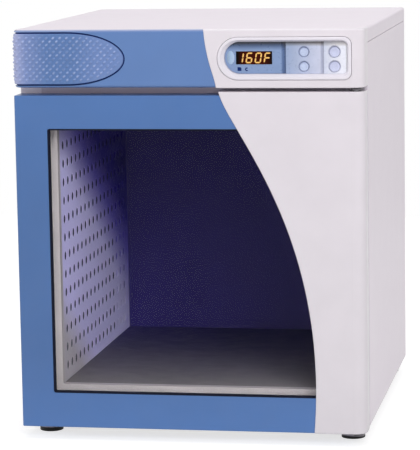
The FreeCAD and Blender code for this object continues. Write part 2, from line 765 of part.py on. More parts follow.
def make_inlet():
    """Mains inlet module: flange, body, three-pin socket, drawer slot and rocker seat."""
    x, z = inlet_centre()
    width, height, thickness = inlet_flange
    flange = rounded_plate(x - width / 2, x + width / 2, z - height / 2, z + height / 2,
                           casing_back, casing_back + thickness, 3.0, 3.0)
    body_width, body_height, body_depth = inlet_body
    body = rounded_plate(x - body_width / 2, x + body_width / 2, z - body_height / 2, z + body_height / 2,
                         casing_back - body_depth, casing_back + 0.1, 2.0, 2.0)
    module = flange.fuse(body)
    socket_x = x - 18.0
    socket = rounded_plate(socket_x - 12, socket_x + 12, z - 8.5, z + 8.5, casing_back - 16,
                           casing_back + thickness + 1, 3.0, 3.0)
    module = module.cut(socket)
    pins = []
    for offset in (-7.0, 0.0, 7.0):
        pins.append(block(socket_x + offset - 1, socket_x + offset + 1, casing_back - 17,
                          casing_back - 2, z - 3, z + 3))
    module = module.multiFuse(pins)
    drawer_x = inlet_drawer_x()
    module = module.cut(block(drawer_x - drawer_size[0] / 2 - run_gap, drawer_x + drawer_size[0] / 2 + run_gap,
                              casing_back - drawer_depth - run_gap, casing_back + thickness + 1,
                              z - drawer_size[1] / 2 - run_gap, z + drawer_size[1] / 2 + run_gap))
    rocker_x = inlet_rocker_x()
    module = module.cut(block(rocker_x - rocker_size[0] / 2 - run_gap, rocker_x + rocker_size[0] / 2 + run_gap,
                              casing_back - 12, casing_back + thickness + 1,
                              z - rocker_size[1] / 2 - run_gap, z + rocker_size[1] / 2 + run_gap))
    axle_y = rocker_axle_y()
    module = module.fuse(rod(rocker_axle_radius, rocker_x - rocker_size[0] / 2 - 1, axle_y, z, X_AXIS,
                             rocker_size[0] + 2))
    return module


drawer_depth = 30.0
rocker_axle_radius = 1.5
rocker_half = 8.0


def inlet_drawer_x():
    return inlet_centre()[0] + 5.0


def inlet_rocker_x():
    return inlet_centre()[0] + 22.0


def rocker_axle_y():
    return casing_back + inlet_flange[2] - 5.0


def make_rocker():
    """Rocker with a shallow V face, drilled for its axle and stored pressed in at the top."""
    x = inlet_rocker_x()
    z = inlet_centre()[1]
    axle_y = rocker_axle_y()
    tilt = math.radians(rocker_tilt)
    face = (casing_back + inlet_flange[2] + rocker_proud - axle_y - rocker_half * math.sin(tilt)) / math.cos(tilt)
    upper = ((face, rocker_half), (0.5, rocker_half + 0.4), (-3.2, 3.5))
    outline = list(upper) + [(y, -height) for y, height in reversed(upper)] + [(face - 0.9, 0.0)]
    points = [Vector(x - rocker_size[0] / 2, axle_y + y, z + height) for y, height in outline]
    body = Part.Face(Part.makePolygon(points + points[:1])).extrude(X_AXIS * rocker_size[0])
    bore = rod(rocker_axle_radius + pin_clearance, x - rocker_size[0], axle_y, z, X_AXIS, rocker_size[0] * 2)
    body = body.cut(bore)
    body.rotate(Vector(x, axle_y, z), X_AXIS, rocker_tilt)
    return body


def make_drawer():
    """Fuse drawer: slim tray with a small pull lip."""
    x = inlet_drawer_x()
    z = inlet_centre()[1]
    front = casing_back + inlet_flange[2]
    tray = block(x - drawer_size[0] / 2, x + drawer_size[0] / 2, casing_back - drawer_depth, front,
                 z - drawer_size[1] / 2, z + drawer_size[1] / 2)
    tray = tray.cut(block(x - drawer_size[0] / 2 + 1.2, x + drawer_size[0] / 2 + 1,
                          casing_back - drawer_depth + 1.5, front - 3, z - drawer_size[1] / 2 + 1.5,
                          z + drawer_size[1] / 2 - 1.5))
    lip = block(x - drawer_size[0] / 2, x + drawer_size[0] / 2, front - 1, front + 1.2,
                z + drawer_size[1] / 2 - 3, z + drawer_size[1] / 2)
    return tray.fuse(lip)


# ---- Header ----------------------------------------------------------------------------

def rounded_body(body, z0, z1, back, right, right_radius, low_soften, high_soften):
    """Round a front moulding's right corner, then its lower and upper edges."""
    front = body.BoundBox.YMin
    body = body.makeFillet(right_radius, edges_at(body, x=right, y=front))
    for z, radius in ((z0, low_soften), (z1, high_soften)):
        chain = [edge for edge in edges_at(body, z=z) if edge.BoundBox.YMin < back - 1]
        body = body.makeFillet(radius, chain)
    return body


def shell_body(z0, z1, back, corner, soften):
    """Outer form of a blue moulding, up to the white cover's right side."""
    right = half_front - cover_wall - seat_gap
    body = block(-half_front, right, at(0), back, z0, z1)
    body = body.makeFillet(corner, edges_at(body, x=-half_front, y=at(0)))
    return rounded_body(body, z0, z1, back, right, shell_corner, soften, soften)


def shell_hollow(z0, z1, back, corner):
    """Hollow of a blue moulding, one wall inside its sides and front."""
    left = -half_front + moulded_wall
    right = half_front - cover_wall - seat_gap - moulded_wall
    front = at(moulded_wall)
    hollow = block(left, right, front, back, z0, z1)
    hollow = hollow.makeFillet(corner - moulded_wall, edges_at(hollow, x=left, y=front))
    return hollow.makeFillet(shell_corner - moulded_wall, edges_at(hollow, x=right, y=front))


def cover_body(zone, z0, z1, back, high_soften):
    """Outer form of a white cover: a rounded body cut by the curved edge, itself rounded."""
    front = at(-cover_wall)
    body = block(-half_front, half_front, front, back, z0, z1)
    body = rounded_body(body, z0, z1, back, half_front, right_corner, cover_soften, high_soften)
    room = block(-half_front, half_front + cover_wall, front, back + 1, z0 - cover_wall, z1 + cover_wall)
    zone = zone.common(room)
    sweep = [edge for edge in edges_at(zone, y=front)
             if edge.BoundBox.XLength > 1 and edge.BoundBox.ZLength > header_height / 2]
    return body.common(zone.makeFillet(cover_soften, sweep))


def cover_hollow(z0, z1, back):
    """Hollow of a white cover, a hair ahead of the blue moulding it covers."""
    right = half_front - cover_wall
    front = at(-seat_gap)
    hollow = block(-half_front - 1, right, front, back, z0, z1)
    return hollow.makeFillet(right_corner - cover_wall, edges_at(hollow, x=right, y=front))


def pad_prism(grow, depth):
    """Grip pad's outline: straight from the left side, then half an ellipse."""
    centre = Vector(-half_front + pad_straight, 0, pad_middle)
    rise = pad_half_height + grow
    reach = pad_round + grow
    curve = Part.Ellipse(centre + X_AXIS * reach, centre + Z_AXIS * rise, centre)
    end = plate_xz(Part.Wire(curve.toShape()), at(-10), at(depth))
    middle = block(-half_front - 20, centre.x, at(-10), at(depth), pad_middle - rise, pad_middle + rise)
    keep = block(-half_front - 20, centre.x + reach + 1, at(-10), at(depth),
                 pad_middle - rise - 1, pad_middle + rise + 1)
    return end.fuse(middle).common(keep)


def pad_volume(grow, depth):
    """The pad's outline on the front together with its wrap along the header's left side."""
    rise = pad_half_height + grow
    wrap = block(-half_front - 20, -half_front + depth, at(-10), at(pad_wrap + grow),
                 pad_middle - rise, pad_middle + rise)
    return pad_prism(grow, depth).fuse(wrap)


def make_header_shell():
    """Blue moulding, open at the back and the top, with a deep pocket for the grip pad."""
    right = half_front - cover_wall - seat_gap
    back = casing_front - run_gap
    outer = shell_body(header_bottom, top_z, back, header_corner, header_soften)
    shell = outer.cut(shell_hollow(header_bottom + moulded_wall, top_z + 1, back + 1, header_corner))
    upper_lip = outer.common(block(-half_front, right, at(0), at(top_lip_depth),
                                   top_z - moulded_wall, top_z))
    walls = outer.common(pad_volume(pad_groove + pocket_wall, pad_thickness + pocket_wall))
    shell = shell.multiFuse([upper_lip, walls])
    shell = shell.cut(pad_volume(pad_groove, pad_thickness))
    tongue_room = block(-half_front + moulded_wall, right, at(top_lip_depth + 0.2), back + 1,
                        top_z - skin - run_gap, top_z + 1)
    cover_room = header_zone(run_gap).common(block(-half_front, half_front, at(-5), at(top_lip_depth + 1),
                                                  top_z - cover_wall - seat_gap, top_z + 5))
    bezel_x0, bezel_x1, bezel_z0, bezel_z1 = bezel_box(seat_gap + bezel_gap)
    bezel_room = block(bezel_x0 - 3, bezel_x1 + 0.5, at(-5), at(bezel_depth + 1), bezel_z0 - 2, bezel_z1 + 2)
    leg_room = block(hinge_x - arm_half_width - run_gap, hinge_x + arm_half_width + run_gap,
                     casing_front - bracket_leg_sheet - 2, casing_front,
                     header_bottom - 1, header_bottom + moulded_wall + 1)
    return shell.cut(tongue_room).cut(cover_room).cut(bezel_room).cut(leg_room)


def make_header_cover():
    """White moulding over the right of the header, folded round its side, top and bottom."""
    bottom = header_bottom - cover_underlap
    back = casing_front - run_gap
    outer = cover_body(header_zone(0), bottom, top_z, back, top_soften)
    shell = outer.cut(cover_hollow(header_bottom - seat_gap, top_z - cover_wall, back + 1))
    side_inner = half_front - cover_wall
    lid_room = cover_hollow(top_z - cover_wall - 1, top_z + 1, back + 1)
    shell = shell.cut(lid_room.cut(block(-half_front - 2, half_front, at(-5), at(top_lip_depth),
                                         top_z - cover_wall - 2, top_z + 2)))
    shell = shell.cut(block(-half_front - 1, side_inner, at(front_depth * 0.7), back + 1,
                            bottom - 1, header_bottom + 1))
    x0, x1, z0, z1 = bezel_box(bezel_gap)
    cover = shell.cut(rounded_plate(x0, x1, z0, z1, at(-10), at(5), (z1 - z0) / 2, bezel_corner + bezel_gap))
    return cover


def make_grip_pad():
    """Textured insert that fills the header's pocket and wraps round its left side."""
    proud_box = block(-half_front - pad_proud, half_front, at(-pad_proud), casing_front,
                      header_bottom, top_z)
    proud_box = proud_box.makeFillet(header_corner + pad_proud,
                                     edges_at(proud_box, x=-half_front - pad_proud, y=at(-pad_proud)))
    pad = pad_volume(0, pad_thickness - seat_gap).common(proud_box)
    return pad


# ---- Controls --------------------------------------------------------------------------

def bezel_box(grow):
    """Bezel's outer limits, grown by the given margin."""
    x1 = half_front - bezel_inset
    middle = header_middle - bezel_drop
    return (x1 - bezel_width - grow, x1 + grow, middle - bezel_height / 2 - grow,
            middle + bezel_height / 2 + grow)


def panel_box(shrink):
    """Opening behind the bezel's slope, made smaller by the given margin."""
    x0, x1, z0, z1 = bezel_box(-bezel_rim - shrink)
    left, right, bottom, top = bezel_slopes
    return x0 + left, x1 - right, z0 + bottom, z1 - top


def panel_plate(shrink, y0, y1):
    x0, x1, z0, z1 = panel_box(shrink)
    return rounded_plate(x0, x1, z0, z1, y0, y1, (z1 - z0) / 2, panel_corner)


def make_bezel():
    """Rounded bead round the controls, a slope inside it and four board posts."""
    x0, x1, z0, z1 = bezel_box(0)
    front = at(-cover_wall - bezel_proud)
    ring = rounded_plate(x0, x1, z0, z1, front, at(bezel_depth), (z1 - z0) / 2, bezel_corner)
    ring = ring.makeFillet(2.0, edges_at(ring, y=front))
    ring = ring.cut(panel_plate(0, front - 1, at(bezel_depth + 1)))
    u0, u1, w0, w1 = bezel_box(-bezel_rim)
    mouth = rounded_outline(u0, u1, w0, w1, (w1 - w0) / 2, bezel_corner - 2.0)
    mouth.translate(Vector(0, front, 0))
    v0, v1, t0, t1 = panel_box(0)
    throat = rounded_outline(v0, v1, t0, t1, (t1 - t0) / 2, panel_corner)
    throat.translate(Vector(0, front + bezel_bevel_depth, 0))
    ring = ring.cut(Part.makeLoft([mouth, throat], True, True))
    posts = []
    for x, z in board_posts():
        posts.append(rod(2.8, x, at(bezel_depth - 0.5), z, Y_AXIS, board_y - bezel_depth + 0.5 - seat_gap))
    return ring.multiFuse(posts)


def board_posts():
    x0, x1, z0, z1 = bezel_box(0)
    return ((x0 + 5.5, header_middle + 9), (x0 + 5.5, header_middle - 9),
            (x1 - 4.5, header_middle + 18), (x1 - 4.5, header_middle - 18))


def round_channel(x, width, depth, surface):
    """Round-bottomed channel from the header's bottom to its top, centred on x."""
    radius = (width ** 2 / 4 + depth ** 2) / (2 * depth)
    return rod(radius, x, at(surface) + depth - radius, header_bottom, Z_AXIS, header_height)


def zone_x():
    """Step between the display zone and the key zone."""
    return panel_box(0)[0] + display_zone


def lens_box():
    x1 = half_front - lens_left
    z = header_middle - lens_drop
    return x1 - lens_width, x1, z - lens_height / 2, z + lens_height / 2


def indicator_prism(grow, y0, y1):
    x0 = lens_box()[0]
    centre = Vector(x0 - indicator_gap - indicator_width / 2, 0,
                    header_middle - lens_drop + indicator_rise)
    curve = Part.Ellipse(centre + Z_AXIS * (indicator_height / 2 + grow),
                         centre + X_AXIS * (indicator_width / 2 + grow), centre)
    return plate_xz(Part.Wire(curve.toShape()), y0, y1)


def make_display_panel():
    """Recessed blue panel behind the display window and the indicator."""
    panel = panel_plate(seat_gap, at(display_recess), at(bezel_depth))
    panel = panel.common(block(-half_front, zone_x() - seat_gap / 2, at(-9), at(20), header_bottom, top_z))
    panel = panel.cut(round_channel(zone_x() - stripe_width / 2, stripe_width, stripe_depth, display_recess))
    x0, x1, z0, z1 = lens_box()
    panel = panel.cut(block(x0 - seat_gap, x1 + seat_gap, at(0), at(20), z0 - seat_gap, z1 + seat_gap))
    return panel.cut(indicator_prism(seat_gap, at(0), at(20)))


def key_places():
    upper = header_middle + key_rise
    columns = (("left", half_front - key_column_left), ("right", half_front - key_column_right))
    return [("key_" + row + "_" + side, x, upper - drop)
            for side, x in columns for row, drop in (("upper", 0.0), ("lower", key_spacing))]


def key_form(x):
    """Radius of a key and the panel level round it, in the left or the right column."""
    if x > half_front - (key_column_left + key_column_right) / 2:
        return key_radius_right, third_recess
    return key_radius_left, key_recess


def make_key_panel():
    """Paler panel round the keys, raised at its right end and hollow behind, with key guides."""
    left = block(zone_x() + seat_gap / 2, half_front, at(-9), at(40), header_bottom, top_z)
    panel = panel_plate(seat_gap, at(key_recess), at(bezel_depth)).common(left)
    strip = panel_plate(seat_gap, at(third_recess), at(bezel_depth))
    strip_x = panel_box(0)[1] - third_zone
    panel = panel.fuse(strip.common(block(strip_x, half_front, at(-9), at(40), header_bottom, top_z)))
    panel = panel.removeSplitter()
    groove = round_channel(strip_x - third_channel / 2, third_channel, third_channel_depth, key_recess)
    panel = panel.cut(groove)
    hollow = panel_plate(seat_gap + moulded_wall, at(key_recess + moulded_wall), at(bezel_depth + 1))
    hollow = hollow.common(block(zone_x() + moulded_wall, half_front, at(-9), at(40), header_bottom, top_z))
    for name, x, z in key_places():
        radius, level = key_form(x)
        radius += run_gap
        hollow = hollow.cut(rod(radius + moulded_wall, x, at(-9), z, Y_AXIS, 40))
        panel = panel.cut(rod(radius, x, at(-9), z, Y_AXIS, 40))
        panel = panel.cut(Part.makeCone(radius + key_sink, radius, key_sink, Vector(x, at(level), z), Y_AXIS))
    return panel.cut(hollow)


def make_key(x, z):
    """Round key: dished cap, retaining flange behind the panel and a stem for its switch."""
    radius, level = key_form(x)
    front = at(level - key_dome)
    cap = rod(radius, x, front, z, Y_AXIS, at(bezel_depth) - front + run_gap + key_flange)
    cap = cap.makeFillet(1.2, edges_at(cap, y=front))
    dish = Part.makeSphere(key_dish_radius, Vector(x, front - key_dish_radius + key_dish_depth, z))
    cap = cap.cut(dish)
    flange = rod(radius + key_flange, x, at(bezel_depth + run_gap), z, Y_AXIS, key_flange)
    stem_y = at(bezel_depth + run_gap + key_flange)
    stem = rod(key_stem_radius, x, stem_y - 0.1, z, Y_AXIS, switch_front() - key_travel - run_gap - stem_y + 0.1)
    return cap.multiFuse([flange, stem])


def switch_front():
    """Plane of the key switches' plungers."""
    return at(board_y) - switch_height


def make_key_switches():
    switches = []
    for name, x, z in key_places():
        base = block(x - switch_size / 2, x + switch_size / 2, switch_front() + 0.8, at(board_y) - seat_gap / 2,
                     z - switch_size / 2, z + switch_size / 2)
        switches.append(base.fuse(rod(1.7, x, switch_front(), z, Y_AXIS, 1.0)))
    return switches


def make_control_board():
    x0, x1, z0, z1 = bezel_box(0)
    return block(x0 + 2, x1 - 2, at(board_y), at(board_y + board_thickness), z0 + 3, z1 - 3)


def make_display():
    """Smoked lens, its digit module and the lit digits."""
    x0, x1, z0, z1 = lens_box()
    lens_front = display_recess - 0.4
    add("display_lens", block(x0, x1, at(lens_front), at(lens_front + 2), z0, z1))
    add("display_module", block(x0 + 1, x1 - 1, at(bezel_depth + seat_gap), at(board_y) - seat_gap,
                                z0 + 1, z1 - 1))
    segments = []
    right = x1 - digit_margin - digit_slant * digit_height / 2
    middle = (z0 + z1) / 2
    for place, figure in enumerate(("F", "0", "6", "1")):
        left = right - digit_width - place * digit_pitch
        segments += digit(figure, left, middle, at(lens_front))
    add("display_digits", *segments)
    add("indicator_lens", indicator_prism(0, at(display_recess - 0.8), at(bezel_depth)))


def digit(figure, left, middle, y):
    """Seven-segment figure built of slanted bars."""
    lit = {"0": "abcdef", "1": "bc", "6": "acdefg", "F": "aefg"}[figure]
    half = digit_stroke / 2
    gap = 0.25
    top = digit_height / 2 - half
    right = digit_width - half
    spans = {"a": (half, top, right, top), "g": (half, 0.0, right, 0.0), "d": (half, -top, right, -top),
             "f": (half, 0.0, half, top), "b": (right, 0.0, right, top),
             "e": (half, -top, half, 0.0), "c": (right, -top, right, 0.0)}
    bars = []
    for name in lit:
        x0, z0, x1, z1 = spans[name]
        flat = z0 == z1
        step_x, step_z = (half, 0.0) if flat else (0.0, half)
        wide_x, wide_z = (0.0, half) if flat else (half, 0.0)
        trim_x, trim_z = (gap, 0.0) if flat else (0.0, gap)
        outline = ((x0 + trim_x, z0 + trim_z),
                   (x0 + trim_x + step_x - wide_x, z0 + trim_z + step_z - wide_z),
                   (x1 - trim_x - step_x - wide_x, z1 - trim_z - step_z - wide_z),
                   (x1 - trim_x, z1 - trim_z),
                   (x1 - trim_x - step_x + wide_x, z1 - trim_z - step_z + wide_z),
                   (x0 + trim_x + step_x + wide_x, z0 + trim_z + step_z + wide_z))
        slanted = [(left + x + z * digit_slant, middle + z) for x, z in outline]
        bars.append(polygon_plate(slanted, y - digit_thickness, y - 0.02))
    return bars


# ---- Door ------------------------------------------------------------------------------

def make_door_skin():
    """Blue door moulding, open at the back, with a return round the window."""
    outer = shell_body(door_bottom, door_top, door_back, door_corner, door_soften)
    skin_shell = outer.cut(shell_hollow(door_bottom + moulded_wall, door_top - moulded_wall, door_back + 1,
                                        door_corner))
    collar = frame_ring(window_half, window_bottom, window_top, moulded_wall, at(0.5), at(window_return),
                        window_corner)
    skin_shell = skin_shell.fuse(collar)
    skin_shell = skin_shell.cut(rounded_plate(-window_half, window_half, window_bottom, window_top,
                                              at(-1), at(window_return + 1), window_corner, window_corner))
    for z in (door_bottom - 1, door_top - pin_reach - 3):
        skin_shell = skin_shell.cut(rod(bushing_radius + seat_gap / 2, hinge_x, hinge_y, z, Z_AXIS,
                                        pin_reach + 4))
    return skin_shell


bushing_radius = pin_radius + bushing_wall


def make_door_cover():
    """White moulding over the right of the door, with a top lip above the blue skin."""
    top = door_top + cover_overlap
    back = door_back - 2
    outer = cover_body(door_zone(), door_bottom, top, back, cover_soften)
    inner = cover_hollow(door_bottom - 1, top - cover_wall, back + 1)
    pin_room = rod(pin_radius + 1.0, hinge_x, hinge_y, door_top, Z_AXIS, cover_overlap + 1)
    return outer.cut(inner).cut(pin_room)


def make_glazing():
    """Glass pane and the black rubber channel that holds its edge in the window."""
    half = window_half - seat_gap
    low = window_bottom + seat_gap
    high = window_top - seat_gap
    edge = gasket_lip - 1.6
    pane = rounded_plate(-half + edge, half - edge, low + edge, high - edge, at(glass_front),
                         at(glass_front + glass_thickness), 2.0, 2.0)
    add("glass_pane", pane)
    ring = rounded_plate(-half, half, low, high, at(1.2), at(window_return), window_corner, window_corner)
    ring = ring.cut(rounded_plate(-half + gasket_lip, half - gasket_lip, low + gasket_lip,
                                  high - gasket_lip, at(0), at(window_return + 1), 2.0, 2.0))
    channel = rounded_plate(-half + edge - 0.1, half - edge + 0.1, low + edge - 0.1, high - edge + 0.1,
                            at(glass_front - 0.1), at(glass_front + glass_thickness + 0.1), 2.0, 2.0)
    add("glazing_gasket", ring.cut(channel))


def pan_opening():
    """Half width, bottom and top of the opening through the door pan."""
    return (chamber_half + pan_opening_gap, chamber_floor - pan_opening_gap - 2.7,
            chamber_top + 4.5)


def make_door_pan():
    """Inner sheet of the door, folded forward round its opening."""
    x, low, high = pan_opening()
    left = -half_front + moulded_wall + seat_gap
    right = half_front - cover_wall - moulded_wall - 2 * seat_gap
    bottom = door_bottom + moulded_wall + seat_gap
    top = door_top - moulded_wall - seat_gap
    plate = rounded_plate(left, right, bottom, top, door_back - pan_sheet, door_back, 1.0, 1.0)
    reveal = frame_ring(x, low, high, pan_sheet, at(moulded_wall + seat_gap), door_back, 6.0)
    pan = plate.fuse(reveal)
    return pan.cut(rounded_plate(-x, x, low, high, at(0), door_back + 1, 6.0, 6.0))


def make_door_seal():
    """Magnetic rubber seal on the door pan, a hair clear of the casing when the door is shut."""
    x, low, high = pan_opening()
    inner_low = low - seal_offset
    inner_high = high + seal_offset
    return frame_ring(x + seal_offset, inner_low, inner_high, seal_width,
                      door_back + seat_gap / 2, casing_front - run_gap, 6.0)


def make_bushings():
    """Flanged bushings in the door's upper and lower walls."""
    bushings = []
    for face, direction in ((door_top, -1), (door_bottom, 1)):
        axis = Z_AXIS * direction
        sleeve = Part.makeCylinder(bushing_radius, pin_reach + 2, Vector(hinge_x, hinge_y, face), axis)
        flange = Part.makeCylinder(bushing_radius + bushing_flange, bushing_flange_height,
                                   Vector(hinge_x, hinge_y, face), axis * -1)
        bore = Part.makeCylinder(pin_radius + pin_clearance, pin_reach + 60,
                                 Vector(hinge_x, hinge_y, face - direction * 30), axis)
        bushings.append(sleeve.fuse(flange).cut(bore))
    return bushings


def upper_arm_z():
    """Underside of the upper hinge arm, between the door cover and the header cover."""
    free = finger_gap - cover_overlap - cover_underlap
    return door_top + cover_overlap + (free - arm_sheet) / 2


def lower_arm_z():
    """Underside of the lower hinge arm, just below the lower bushing's flange."""
    return door_bottom - bushing_flange_height - seat_gap - arm_sheet


def make_bracket(arm_z, leg_top):
    """Angle bracket: an arm under or over the door and a leg against the casing's front."""
    arm = block(hinge_x - arm_half_width, hinge_x + arm_half_width, hinge_y, casing_front - seat_gap,
                arm_z, arm_z + arm_sheet)
    nose = rod(arm_half_width, hinge_x, hinge_y, arm_z, Z_AXIS, arm_sheet)
    leg = block(hinge_x - arm_half_width, hinge_x + arm_half_width,
                casing_front - seat_gap - bracket_leg_sheet, casing_front - seat_gap, arm_z, leg_top)
    bracket = arm.multiFuse([nose, leg]).removeSplitter()
    return bracket.cut(rod(pin_radius + 0.1, hinge_x, hinge_y, arm_z - 1, Z_AXIS, arm_sheet + 2))


def make_pins():
    upper = rod(pin_radius, hinge_x, hinge_y, door_top - pin_reach, Z_AXIS,
                upper_arm_z() + arm_sheet - door_top + pin_reach)
    lower = rod(pin_radius, hinge_x, hinge_y, lower_arm_z(), Z_AXIS,
                door_bottom + pin_reach - lower_arm_z())
    return upper, lower


# ---- Feet ------------------------------------------------------------------------------

def make_foot(x, y):
    """Levelling foot: a broad pad, its hub and the stud that screws up into the base pan."""
    pad = rod(foot_radius, x, y, 0, Z_AXIS, foot_pad_height)
    pad = pad.makeChamfer(foot_chamfer, edges_at(pad, z=foot_pad_height))
    pad = pad.makeFillet(0.8, edges_at(pad, z=0))
    hub = rod(stud_radius + 4, x, y, foot_pad_height - 0.5, Z_AXIS, 2.5)
    stud = rod(stud_radius, x, y, foot_pad_height - 0.5, Z_AXIS,
               casing_bottom + stud_rise - foot_pad_height + 0.5)
    return pad.multiFuse([hub, stud])


def make_lock_ring(x, y):
    """Ribbed nut on the stud, run up against the base pan."""
    z = casing_bottom - seat_gap - lock_ring_height
    ring = rod(lock_ring_radius, x, y, z, Z_AXIS, lock_ring_height)
    ring = ring.makeChamfer(0.8, edges_at(ring, z=z) + edges_at(ring, z=z + lock_ring_height))
    grooves = []
    for step in range(lock_ring_ribs):
        turn = 2 * math.pi * step / lock_ring_ribs
        grooves.append(rod(1.5, x + lock_ring_radius * math.cos(turn), y + lock_ring_radius * math.sin(turn),
                           z - 1, Z_AXIS, lock_ring_height + 2))
    ring = ring.cut(Part.makeCompound(grooves))
    return ring.cut(rod(stud_radius + pin_clearance, x, y, z - 1, Z_AXIS, lock_ring_height + 2))


# ---- Wiring ----------------------------------------------------------------------------

def bent_tube(points, radius, bend):
    """Cable along straight runs joined by tangent arcs."""
    edges = []
    start = points[0]
    for index in range(1, len(points) - 1):
        corner = points[index]
        before = (corner - points[index - 1]).normalize()
        after = (points[index + 1] - corner).normalize()
        half_turn = before.getAngle(after) / 2
        back_off = bend * math.tan(half_turn)
        arc_start = corner - before * back_off
        arc_end = corner + after * back_off
        toward = (after - before).normalize()
        centre = corner + toward * (bend / math.cos(half_turn))
        middle = centre - toward * bend
        edges.append(Part.makeLine(start, arc_start))
        edges.append(Part.Arc(arc_start, middle, arc_end).toShape())
        start = arc_end
    edges.append(Part.makeLine(start, points[-1]))
    path = Part.Wire(edges)
    profile = Part.Wire(Part.makeCircle(radius, points[0], (points[1] - points[0])))
    return path.makePipeShell([profile], True, False)


def make_loom():
    """Three insulated leads: inlet to supply, supply to control board, relay to heater."""
    lead_z = bay_floor + seat_gap + 14.0
    inlet_x, inlet_z = inlet_centre()
    inlet_face = casing_back - inlet_body[2] - seat_gap
    mains = [Vector(inlet_x, inlet_face, inlet_z), Vector(inlet_x, supply_y, inlet_z),
             Vector(inlet_x, supply_y, lead_z), Vector(relay_x + relay_size[0] / 2 + seat_gap, supply_y, lead_z)]
    supply_edge = supply_y - supply_size[1] / 2 - seat_gap
    board_back = at(board_y + board_thickness + seat_gap)
    signal = [Vector(supply_x, supply_edge, lead_z), Vector(supply_x, bay_front + 60, lead_z),
              Vector(cable_x, bay_front + 60, lead_z), Vector(cable_x, bay_front + 60, cable_z),
              Vector(cable_x, board_back, cable_z)]
    heat_x, heat_y = heater_ends()[0]
    relay_edge = supply_y - relay_size[1] / 2 - seat_gap
    heat_z = bay_floor + 12.0 - loom_radius
    heat = [Vector(relay_x, relay_edge, heat_z), Vector(relay_x, heat_y, heat_z),
            Vector(heat_x - heater_tube - seat_gap, heat_y, heat_z)]
    return [bent_tube(route, loom_radius, loom_bend) for route in (mains, signal, heat)]


# ---- Assembly --------------------------------------------------------------------------

side_panel = make_side_panel()
add("side_panel_right", side_panel)
add("side_panel_left", mirrored(side_panel))
add("base_pan", make_base_pan())
add("rear_panel", make_rear_panel())
add("top_cover", make_top_cover())
add("front_frame", make_front_frame())

duct_panel = make_duct_panel()
add("duct_panel_right", duct_panel)
add("duct_panel_left", mirrored(duct_panel))
add("chamber_liner", *make_liner())
add("ceiling_panel", make_ceiling_panel())
make_insulation()
add("electronics_tray", make_tray())

add("fan_motor", make_motor())
add("fan_shaft", rod(shaft_radius, 0, fan_y, shaft_bottom, Z_AXIS, shaft_top - shaft_bottom))
add("fan_impeller", make_impeller())
add("heating_element", make_heater())
add("temperature_probe", make_probe())
add("limit_thermostat", make_thermostat())

add("power_supply", make_supply())
add("heater_relay", make_relay())
add("power_inlet", make_inlet())
add("rocker_switch", make_rocker())
add("fuse_drawer", make_drawer())
add("wiring_loom", *make_loom())

add("header_shell", make_header_shell())
add("header_cover", make_header_cover())
add("grip_pad", make_grip_pad())
add("control_bezel", make_bezel())
add("display_panel", make_display_panel())
add("key_panel", make_key_panel())
make_display()
for key_name, key_x, key_z in key_places():
    add(key_name, make_key(key_x, key_z))
add("key_switches", *make_key_switches())
add("control_board", make_control_board())

add("door_skin", make_door_skin())
add("door_cover", make_door_cover())
make_glazing()
add("door_pan", make_door_pan())
add("door_gasket", make_door_seal())
add("door_bushings", *make_bushings())
add("hinge_bracket_upper", make_bracket(upper_arm_z(), header_bottom + bracket_leg))
add("hinge_bracket_lower", make_bracket(lower_arm_z(), door_bottom + bracket_leg))
add("hinge_pins", *make_pins())

lock_rings = []
for side_name, foot_side in (("left", -1), ("right", 1)):
    for end_name, foot_y in zip(("front", "rear"), foot_ys):
        add("foot_" + end_name + "_" + side_name, make_foot(foot_side * foot_x, foot_y))
        lock_rings.append(make_lock_ring(foot_side * foot_x, foot_y))
add("foot_lock_rings", *lock_rings)

screws = []
for screw_side in (-1, 1):
    for screw_z in rear_screw_heights():
        screws.append(screw(screw_side * (half_casing - rear_flange / 2), casing_back, screw_z,
                            Y_AXIS, screw_length))
for screw_x in top_screw_places():
    screws.append(screw(screw_x, casing_back, top_z - seam_drop / 2, Y_AXIS, screw_length))
add("casing_screws", *screws)

os.makedirs("parts", exist_ok=True)
overall = FreeCAD.BoundBox()
for name, shape in sorted(pieces.items()):
    shape.exportStep("parts/" + name + ".step")
    overall.add(shape.BoundBox)
    print(f"{name:22s} solids {len(shape.Solids):3d}  volume {shape.Volume / 1000:10.1f} cm3  valid {shape.isValid()}")
print(len(pieces), "nodes; overall box", overall)
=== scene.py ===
import json
import math

import bmesh
import bpy
from bpy.props import FloatProperty, PointerProperty, StringProperty
from mathutils import Matrix, Vector


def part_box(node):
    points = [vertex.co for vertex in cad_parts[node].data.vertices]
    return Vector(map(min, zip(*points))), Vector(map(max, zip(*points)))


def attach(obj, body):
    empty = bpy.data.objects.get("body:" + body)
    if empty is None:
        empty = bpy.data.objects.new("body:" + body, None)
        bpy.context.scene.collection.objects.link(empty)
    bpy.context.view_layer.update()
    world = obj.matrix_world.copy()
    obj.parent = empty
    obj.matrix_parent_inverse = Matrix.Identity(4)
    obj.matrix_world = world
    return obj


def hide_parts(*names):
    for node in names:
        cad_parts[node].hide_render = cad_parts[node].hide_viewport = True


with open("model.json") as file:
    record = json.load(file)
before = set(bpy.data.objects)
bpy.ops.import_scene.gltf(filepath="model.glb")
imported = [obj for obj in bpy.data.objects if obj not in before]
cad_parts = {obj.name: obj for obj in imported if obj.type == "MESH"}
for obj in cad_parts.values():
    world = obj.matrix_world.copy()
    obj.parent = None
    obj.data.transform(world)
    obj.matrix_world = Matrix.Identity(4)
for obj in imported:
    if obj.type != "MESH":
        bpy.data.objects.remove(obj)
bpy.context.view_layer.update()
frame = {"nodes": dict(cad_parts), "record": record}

bl_info = {
    "name": "Blanket warming cabinet",
    "version": (1, 0, 0),
    "blender": (4, 5, 0),
    "location": "3D View > Sidebar > Cabinet",
    "description": "Finishes and detailed pieces of a counter-top blanket warming cabinet",
    "category": "Add Mesh",
}

MM = 0.001
WHITE = (1.0, 1.0, 1.0, 1.0)

